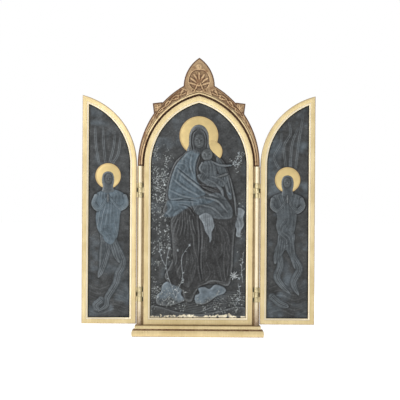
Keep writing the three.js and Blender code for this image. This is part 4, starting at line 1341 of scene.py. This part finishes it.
def wing_outline(side):
    steps = bpy.context.scene.altarpiece_sizes.arc_steps

    def outline(inset):
        share = inset / WING["stile"]
        edge = WING["edge"] + (WING["stile"] - NARROWER["stile"]) * share
        floor = WING["foot"] + (WING["stile"] - NARROWER["rail"]) * share
        return wing_points(side, edge, WING["half"] - inset, floor, steps)

    return outline


def board(name, outline, back, front, material, body, node):
    """A flat board cut to an outline, its arrises eased."""
    clear_selection()
    bpy.ops.mesh.primitive_circle_add(vertices=len(outline), radius=1, fill_type="NGON")
    obj = named(name)
    set_points(obj, stand(outline[:, 0], outline[:, 1], back))
    bpy.ops.object.mode_set(mode="EDIT")
    bpy.ops.mesh.select_all(action="SELECT")
    depth = (back - front) * MM
    bpy.ops.mesh.extrude_region_move(TRANSFORM_OT_translate={"value": (0, depth, 0)})
    merge_and_turn_out()
    bpy.ops.object.mode_set(mode="OBJECT")
    apply_bevel(obj, 0.4)
    return dress(obj, material, body, node)


def gild_front(obj):
    """Gilds the front of a board, which shows in the gaps between the mouldings."""
    obj.data.materials.append(finish_of("gilding"))
    front = min(p.center.y for p in obj.data.polygons)
    for face in obj.data.polygons:
        if face.center.y < front + 0.2 * MM:
            face.material_index = 1


# ------------------------------------------------------------------ operators


def limit_relief(carving, opening):
    """Keeps the carving clear of the closed wings, and flat where the frame laps over it, with painted
    shade along the frame's edge.
    """
    inside = opening(carving.x, carving.y)
    room = np.clip(inside / CONTACT["flat"], 0, 1)
    carving.h = np.minimum(carving.h, PROUDEST)
    floor = GROUND - CONTACT["sink"]
    carving.h = floor + (carving.h - floor) * room
    # Painted shade: the tone darkens towards the frame's edge.
    lit = np.clip((inside - CONTACT["start"]) / CONTACT["dark"], 0, 1)
    carving.tone *= (CONTACT["least"] + (1 - CONTACT["least"]) * lit)[..., None]


class ALTARPIECE_OT_reliefs(bpy.types.Operator):
    """Carves the central relief and the two wing reliefs"""

    bl_idname = "altarpiece.reliefs"
    bl_label = "Reliefs"

    def execute(self, context):
        sizes = context.scene.altarpiece_sizes
        coarse = 1.0
        carving = central_carving(sizes.relief_step / MM * coarse, sizes.seed)
        half = CASE["opening"] + LIP["overlap"] - LIP["gap"]
        sill = CASE["sill"] - LIP["overlap"] + LIP["gap"]

        def opening(x, y):
            return inside_arch(x, y, CASE["opening"], LEAN, CASE["sill"])

        def rebate(x, y):
            return inside_arch(x, y, half, LEAN, sill)

        limit_relief(carving, opening)
        carving.chip(CHIPPED, TONES["chip"])
        obj = carved_piece("relief_mother_and_child", carving, rebate)
        dress(obj, "patinated_relief", "case", "central_relief", angle=60)
        for name, side in SIDES.items():
            self.wing(name, side, sizes, coarse)
        return {"FINISHED"}

    def wing(self, name, side, sizes, coarse):
        carving = angel_carving(name, sizes.wing_step / MM * coarse, sizes.seed + side)
        lap = WING["stile"] - LIP["overlap"] + LIP["gap"]
        edge = WING["edge"] + lap - NARROWER["stile"]
        floor = WING["foot"] + lap - NARROWER["rail"]
        shown = WING["edge"] + WING["stile"] - NARROWER["stile"]

        def opening(x, y):
            return inside_wing(x, y, side, shown, WING["half"] - WING["stile"], CASE["sill"])

        def rebate(x, y):
            return inside_wing(x, y, side, edge, WING["half"] - lap, floor)

        limit_relief(carving, opening)
        obj = carved_piece(f"relief_angel_{name}", carving, rebate)
        dress(obj, "patinated_relief", f"wing_{name}", f"wing_relief_{name}", angle=60)


class ALTARPIECE_OT_haloes(bpy.types.Operator):
    """Turns the four gilt haloes"""

    bl_idname = "altarpiece.haloes"
    bl_label = "Haloes"

    def execute(self, context):
        self.disc("gilt_halo_mother", *MOTHER_HALO, "case", "halo_mother")
        self.disc("gilt_halo_child", *CHILD_HALO, "case", "halo_child", 0.12)
        for name, side in SIDES.items():
            angel = ANGELS[name]
            place = (side * angel["axis"], angel["halo"], ANGEL_HALO)
            self.disc(f"gilt_halo_{name}", *place, f"wing_{name}", f"halo_angel_{name}")
        return {"FINISHED"}

    def disc(self, name, x, y, radius, body, node, lift=0.0):
        clear_selection()
        rings = [(radius - inset, HALO["front"] - sunk, worn) for inset, sunk, worn in HALO_RINGS]
        rings.append((radius * 0.5, HALO["front"], 0.0))
        shoulder = HALO["front"] - HALO["ease"]
        depth = (shoulder - HALO["back"]) * MM
        middle = stand(x, y, (shoulder + HALO["back"]) / 2)
        bpy.ops.mesh.primitive_cylinder_add(
            vertices=96, radius=radius * MM, depth=depth, location=middle, rotation=(math.pi / 2, 0, 0)
        )
        obj = named(name)
        front = min(p.center.y for p in obj.data.polygons)
        mask = np.array([p.center.y < front + 1e-6 for p in obj.data.polygons])
        select_faces(obj, mask)
        now, level = radius, shoulder
        for ring, height, _ in rings:
            bpy.ops.mesh.inset(thickness=(now - ring) * MM, depth=(height - level) * MM)
            now, level = ring, height
        merge_and_turn_out()
        bpy.ops.object.mode_set(mode="OBJECT")
        points = points_of(obj)
        away = np.hypot(points[:, 0] / MM - x, points[:, 2] / MM - y)
        # Darker towards the edge as painted shadow, and in the turned groove.
        stops = [(0, 0.0), *[(ring, worn) for ring, _, worn in rings[::-1]], (radius, 1.0)]
        set_attribute(obj, "rim", np.interp(away, *np.array(stops).T))
        points[:, 1] -= lift * MM * (points[:, 1] < middle[1])
        set_points(obj, points)
        dress(obj, "halo_gilding", body, node)


class ALTARPIECE_OT_frames(bpy.types.Operator):
    """Runs the moulded frames of the case and the wings"""

    bl_idname = "altarpiece.frames"
    bl_label = "Frames"

    def execute(self, context):
        stile = CASE["half"] - CASE["opening"]
        obj = moulded_frame("gilt_inner_frame", case_outline, stile, CASE["thick"])
        dress(obj, "gilding", "case", "inner_frame")
        for name, side in SIDES.items():
            outline = wing_outline(side)
            obj = moulded_frame(f"gilt_wing_frame_{name}", outline, WING["stile"], WING["thick"])
            dress(obj, "gilding", f"wing_{name}", f"wing_frame_{name}")
        return {"FINISHED"}


class ALTARPIECE_OT_outer_arch(bpy.types.Operator):
    """Carves the worn outer arch with its scrolls, blocks and palmette"""

    bl_idname = "altarpiece.outer_arch"
    bl_label = "Outer arch"

    def execute(self, context):
        sizes = context.scene.altarpiece_sizes
        coarse = 1.0
        carving = arch_carving(sizes.arch_step / MM * coarse, sizes.seed)
        obj = carved_piece("carved_outer_arch", carving, inside_outer_arch)
        dress(obj, "worn_gilding", "case", "outer_arch", angle=50)
        return {"FINISHED"}


class ALTARPIECE_OT_plinth(bpy.types.Operator):
    """Builds the moulded plinth, course by course"""

    bl_idname = "altarpiece.plinth"
    bl_label = "Plinth"

    def execute(self, context):
        low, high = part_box("base_plinth")
        swell = 6.5 * MM
        half, front, back = high.x - swell, low.y + swell, high.y
        clear_selection()
        bpy.ops.mesh.primitive_plane_add(size=1)
        obj = named("moulded_plinth")
        courses = self.courses()
        out, level, _ = courses[0]
        size = (2 * (half + out), back - front + out)
        points = points_of(obj) * (size[0], size[1], 1)
        points[:, 1] += back - size[1] / 2
        points[:, 2] = level
        set_points(obj, points)
        bpy.ops.object.mode_set(mode="EDIT")
        bpy.ops.mesh.select_all(action="SELECT")
        for next_out, next_level, _ in courses[1:]:
            rise = (0, 0, next_level - level)
            bpy.ops.mesh.extrude_region_move(TRANSFORM_OT_translate={"value": rise})
            depth = back - front
            grow = ((half + next_out) / (half + out), (depth + next_out) / (depth + out), 1)
            bpy.ops.transform.resize(value=grow, center_override=(0, back, next_level))
            out, level = next_out, next_level
        merge_and_turn_out()
        bpy.ops.object.mode_set(mode="OBJECT")
        apply_bevel(obj, 0.25, 1, 40)
        height = points_of(obj)[:, 2]
        set_attribute(obj, "rim", np.interp(height, [c[1] for c in courses], [c[2] for c in courses]))
        dress(obj, "gilding", "case", "base_plinth", angle=30)
        return {"FINISHED"}

    def courses(self):
        """From the ground up: how far each course stands out, its height and how far it is darkened
        towards the bole.
        """
        torus = {"out": 4.1, "y": 7.0, "wide": 2.4, "tall": 7.6}
        rows = []
        for degrees in (-67, -56, -45, -32, -20, -8, 4, 16, 28, 40, 52, 64, 75):
            turn = math.radians(degrees)
            y = max(0.0, torus["y"] + torus["tall"] * math.sin(turn))
            # Darkest under the torus and where it turns in at its top; the sunk fillet above it is darkest
            # of all.
            worn = 0.9 if degrees < -50 or degrees > 60 else 0.15
            rows.append(((torus["out"] + torus["wide"] * math.cos(turn)) * MM, y * MM, worn))
        rows += [(-0.8 * MM, 15.0 * MM, 1.0), (-0.8 * MM, 16.8 * MM, 1.0), (0.0, 17.2 * MM, 0.2)]
        rows += [(0.0, 18.0 * MM, 0.0), (0.0, 23.2 * MM, 0.1), (-0.8 * MM, 24.0 * MM, 0.6)]
        return rows


class ALTARPIECE_OT_strips(bpy.types.Operator):
    """Runs the round-fronted strips that hide the hinges"""

    bl_idname = "altarpiece.strips"
    bl_label = "Strips"

    def execute(self, context):
        for name, side in SIDES.items():
            self.strip(name, side)
        return {"FINISHED"}

    def strip(self, name, side):
        middle = (BEAD["inner"] + BEAD["outer"]) / 2
        radius = (BEAD["outer"] - BEAD["inner"]) / 2
        turns = np.linspace(0, math.pi, 19)
        crown = [(middle + radius * math.cos(a), BEAD["crown"] + radius * math.sin(a)) for a in turns]
        deep, shallow = BEAD_LEDGE
        wall = CASE["half"] + 0.4
        outer = [(BEAD["outer"], -CASE["thick"]), (BEAD["outer"], deep)]
        outer += [(BEAD["reach"], deep), (BEAD["reach"], shallow), (BEAD["outer"], shallow)]
        inner = [(BEAD["inner"], shallow), (wall, shallow), (wall, deep)]
        inner += [(BEAD["inner"], deep), (BEAD["inner"], -CASE["thick"])]
        section = np.array([*outer, *crown, *inner])
        stations = [(CASE["foot"], False)]
        for height in HINGE_HEIGHTS.values():
            low, high = height - HINGE["length"] / 2 - 0.5, height + HINGE["length"] / 2 + 0.5
            stations += [(low, False), (low, True), (high, True), (high, False)]
        stations += [(BEAD["top"] - 0.6, False), (BEAD["top"], False)]
        count = len(section)

        def place(column, row):
            x, z = section[column % count].T
            y = np.array([s[0] for s in stations])[row]
            cut = np.array([s[1] for s in stations])[row]
            return side * x, y, np.where(cut, np.minimum(z, BEAD["seat"]), z)

        obj, column, row = wrapped_grid(f"gilt_strip_{name}", count, len(stations) - 1, place)
        # The foot and the sides off the crown are darkened towards the bole; the crown gets a painted
        # highlight.
        foot = np.where(row == 0, 0.8, 0.0)
        place_in_section = column % count
        on_crown = (place_in_section > len(outer) + 1) & (place_in_section < len(outer) + len(crown) - 2)
        set_attribute(obj, "rim", np.maximum(foot, np.where(on_crown, 0.0, 0.5)))
        set_attribute(obj, "rub", np.where(on_crown, 0.5, 0.0))
        select_faces(obj, np.ones(len(obj.data.polygons), bool))
        bpy.ops.mesh.select_all(action="SELECT")
        bpy.ops.mesh.remove_doubles(threshold=0.00001)
        bpy.ops.mesh.fill_holes(sides=0)
        bpy.ops.mesh.normals_make_consistent(inside=False)
        bpy.ops.object.mode_set(mode="OBJECT")
        dress(obj, "gilding", "case", f"hinge_bead_{name}", angle=35)


class ALTARPIECE_OT_hinges(bpy.types.Operator):
    """Makes the hinge leaves with their knuckles, and the pins"""

    bl_idname = "altarpiece.hinges"
    bl_label = "Hinges"

    def execute(self, context):
        knuckle = HINGE["length"] / 3
        half, play = HINGE["length"] / 2, HINGE["play"]
        outer = [(-half, -knuckle / 2 - play), (knuckle / 2 + play, half)]
        inner = [(-knuckle / 2 + play, knuckle / 2 - play)]
        for name, side in SIDES.items():
            for level, height in HINGE_HEIGHTS.items():
                label = f"{level}_{name}"
                node = f"hinge_case_leaf_{label}"
                self.leaf(f"case_hinge_{label}", side, height, -1, outer, "case", node)
                node = f"hinge_wing_leaf_{label}"
                self.leaf(f"wing_hinge_{label}", side, height, 1, inner, f"wing_{name}", node)
                self.pin(label, side, height)
        return {"FINISHED"}

    def block(self, x1, x2, y1, y2, z1, z2):
        """A plate between corners of the elevation."""
        low, high = stand(x1, y1, z1), stand(x2, y2, z2)
        bpy.ops.mesh.primitive_cube_add(size=1, location=(low + high) / 2, scale=np.abs(high - low))
        return bpy.context.object

    def leaf(self, name, side, height, into, spans, body, node):
        def across(x):
            return side * (AXIS + into * (AXIS - x))

        half = HINGE["length"] / 2
        z = LEAF["near"] - LEAF["thick"], LEAF["near"]
        root = across(CASE["half"] - LEAF["thick"])
        plate = [root, across(CASE["half"])]
        clear_selection()
        parts = [self.block(*plate, height - half, height + half, LEAF["deep"], LEAF["near"])]
        parts.append(self.block(root, across(LEAF["clear"]), height - half, height + half, *z))
        for start, end in spans:
            parts.append(self.block(plate[1], across(LEAF["root"]), height + start, height + end, *z))
            parts.append(self.knuckle(side, height + start, height + end))
        clear_selection()
        for part in parts:
            part.select_set(True)
        bpy.context.view_layer.objects.active = parts[0]
        bpy.ops.object.join()
        obj = named(name)
        apply_bevel(obj, 0.3)
        dress(obj, "hinge_brass", body, node)

    def knuckle(self, side, low, high):
        place = stand(side * AXIS, (low + high) / 2, HINGE["forward"])
        radius, depth = HINGE["barrel"] * MM, (high - low) * MM
        bpy.ops.mesh.primitive_cylinder_add(vertices=32, radius=radius, depth=depth, location=place)
        obj = bpy.context.object
        select_faces(obj, np.array([abs(p.normal.z) > 0.9 for p in obj.data.polygons]))
        bpy.ops.mesh.inset(thickness=(HINGE["barrel"] - HINGE["bore"]) * MM, use_individual=True)
        bpy.ops.mesh.bridge_edge_loops()
        bpy.ops.object.mode_set(mode="OBJECT")
        return obj

    def pin(self, label, side, height):
        clear_selection()
        half = HINGE["length"] / 2 + HINGE["proud"]
        place = stand(side * AXIS, height, HINGE["forward"])
        radius, depth = HINGE["pin"] * MM, 2 * half * MM
        bpy.ops.mesh.primitive_cylinder_add(vertices=24, radius=radius, depth=depth, location=place)
        obj = named(f"pin_{label}")
        apply_bevel(obj, 0.25)
        dress(obj, "hinge_brass", "case", f"hinge_pin_{label}")


class ALTARPIECE_OT_boards(bpy.types.Operator):
    """Cuts the boards that close the backs"""

    bl_idname = "altarpiece.boards"
    bl_label = "Back boards"

    def execute(self, context):
        steps = context.scene.altarpiece_sizes.arc_steps
        low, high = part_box("back_board")
        front, back = -low.y / MM - SETOFF, -high.y / MM - SETOFF
        outline = arch_points(BOARD["half"], BOARD["lean"], low.z / MM, steps)
        gild_front(board("plain_back_board", outline, back, front, "dark_wood", "case", "back_board"))
        lap = WING["stile"] - LIP["overlap"] + LIP["gap"]
        edge, floor = WING["edge"] + lap - NARROWER["stile"], WING["foot"] + lap - NARROWER["rail"]
        for name, side in SIDES.items():
            outline = wing_points(side, edge, WING["half"] - lap, floor, steps)
            front = -WING["thick"] + WING["panel"]
            body, node = f"wing_{name}", f"wing_back_{name}"
            board(f"wing_board_{name}", outline, -WING["thick"], front, "dark_wood", body, node)
        return {"FINISHED"}


class ALTARPIECE_OT_stage(bpy.types.Operator):
    """Sets the pale floor, the soft studio light and the camera"""

    bl_idname = "altarpiece.stage"
    bl_label = "Stage"

    def execute(self, context):
        clear_selection()
        bpy.ops.mesh.primitive_plane_add(size=40, location=(0, 0, 0))
        floor = named("studio_floor")
        shader = Shader("pale_floor")
        tone = shader.mix(shader.noise(3.0).step(0.3, 0.7), (0.9, 0.9, 0.9), (0.93, 0.93, 0.93))
        glow = {"Emission_Color": (1.0, 1.0, 1.0), "Emission_Strength": 0.7}
        floor.data.materials.append(shader.finish(Base_Color=tone, Roughness=0.9, **glow))
        self.camera(context)
        for name, (place, size, power) in LIGHTS.items():
            self.light(name, place, size, power)
        world = bpy.data.worlds.new("studio")
        world.use_nodes = True
        nodes = world.node_tree.nodes
        background = nodes["Background"]
        background.inputs["Color"].default_value = (1, 1, 1, 1)
        seen = nodes.new("ShaderNodeMapRange")
        seen.inputs["To Min"].default_value = WORLD["lighting"]
        seen.inputs["To Max"].default_value = WORLD["seen"]
        links = world.node_tree.links
        links.new(nodes.new("ShaderNodeLightPath").outputs["Is Camera Ray"], seen.inputs["Value"])
        links.new(seen.outputs["Result"], background.inputs["Strength"])
        context.scene.world = world
        context.scene.view_settings.view_transform = "Standard"
        return {"FINISHED"}

    def camera(self, context):
        data = bpy.data.cameras.new("camera")
        data.lens = CAMERA["lens"]
        data.sensor_width = CAMERA["sensor"]
        camera = bpy.data.objects.new("camera", data)
        context.collection.objects.link(camera)
        away = CAMERA["width"] * data.lens / data.sensor_width
        camera.location = (CAMERA["across"], -away, CAMERA["height"])
        camera.rotation_euler = (math.pi / 2, math.radians(CAMERA["roll"]), 0)
        context.scene.camera = camera

    def light(self, name, place, size, power):
        bpy.ops.object.light_add(type="AREA", location=place)
        lamp = bpy.context.object
        lamp.name = name
        lamp.data.size = size
        lamp.data.energy = power
        aim = np.array(AIM) - np.array(place)
        lamp.rotation_euler = (math.atan2(math.hypot(aim[0], aim[1]), -aim[2]), 0,
                               math.atan2(aim[1], aim[0]) - math.pi / 2)


class ALTARPIECE_PT_panel(bpy.types.Panel):
    bl_idname = "ALTARPIECE_PT_panel"
    bl_label = "Altarpiece"
    bl_space_type = "VIEW_3D"
    bl_region_type = "UI"
    bl_category = "Altarpiece"

    def draw(self, context):
        for settings in (context.scene.altarpiece_sizes, context.scene.altarpiece_colours):
            for name in settings.bl_rna.properties.keys():
                if name not in ("rna_type", "name"):
                    self.layout.prop(settings, name)
        for operator in OPERATORS:
            self.layout.operator(operator.bl_idname)


OPERATORS = (
    ALTARPIECE_OT_stage,
    ALTARPIECE_OT_reliefs,
    ALTARPIECE_OT_haloes,
    ALTARPIECE_OT_frames,
    ALTARPIECE_OT_outer_arch,
    ALTARPIECE_OT_plinth,
    ALTARPIECE_OT_strips,
    ALTARPIECE_OT_hinges,
    ALTARPIECE_OT_boards,
)
CLASSES = (AltarpieceSizes, AltarpieceColours, *OPERATORS, ALTARPIECE_PT_panel)


def register():
    for cls in CLASSES:
        bpy.utils.register_class(cls)
    bpy.types.Scene.altarpiece_sizes = PointerProperty(type=AltarpieceSizes)
    bpy.types.Scene.altarpiece_colours = PointerProperty(type=AltarpieceColours)


def unregister():
    del bpy.types.Scene.altarpiece_colours
    del bpy.types.Scene.altarpiece_sizes
    for cls in reversed(CLASSES):
        bpy.utils.unregister_class(cls)


def main():
    register()
    bpy.ops.altarpiece.stage()
    bpy.ops.altarpiece.reliefs()
    bpy.ops.altarpiece.haloes()
    bpy.ops.altarpiece.frames()
    bpy.ops.altarpiece.outer_arch()
    bpy.ops.altarpiece.plinth()
    bpy.ops.altarpiece.strips()
    bpy.ops.altarpiece.hinges()
    bpy.ops.altarpiece.boards()


if __name__ == "__main__":
    main()
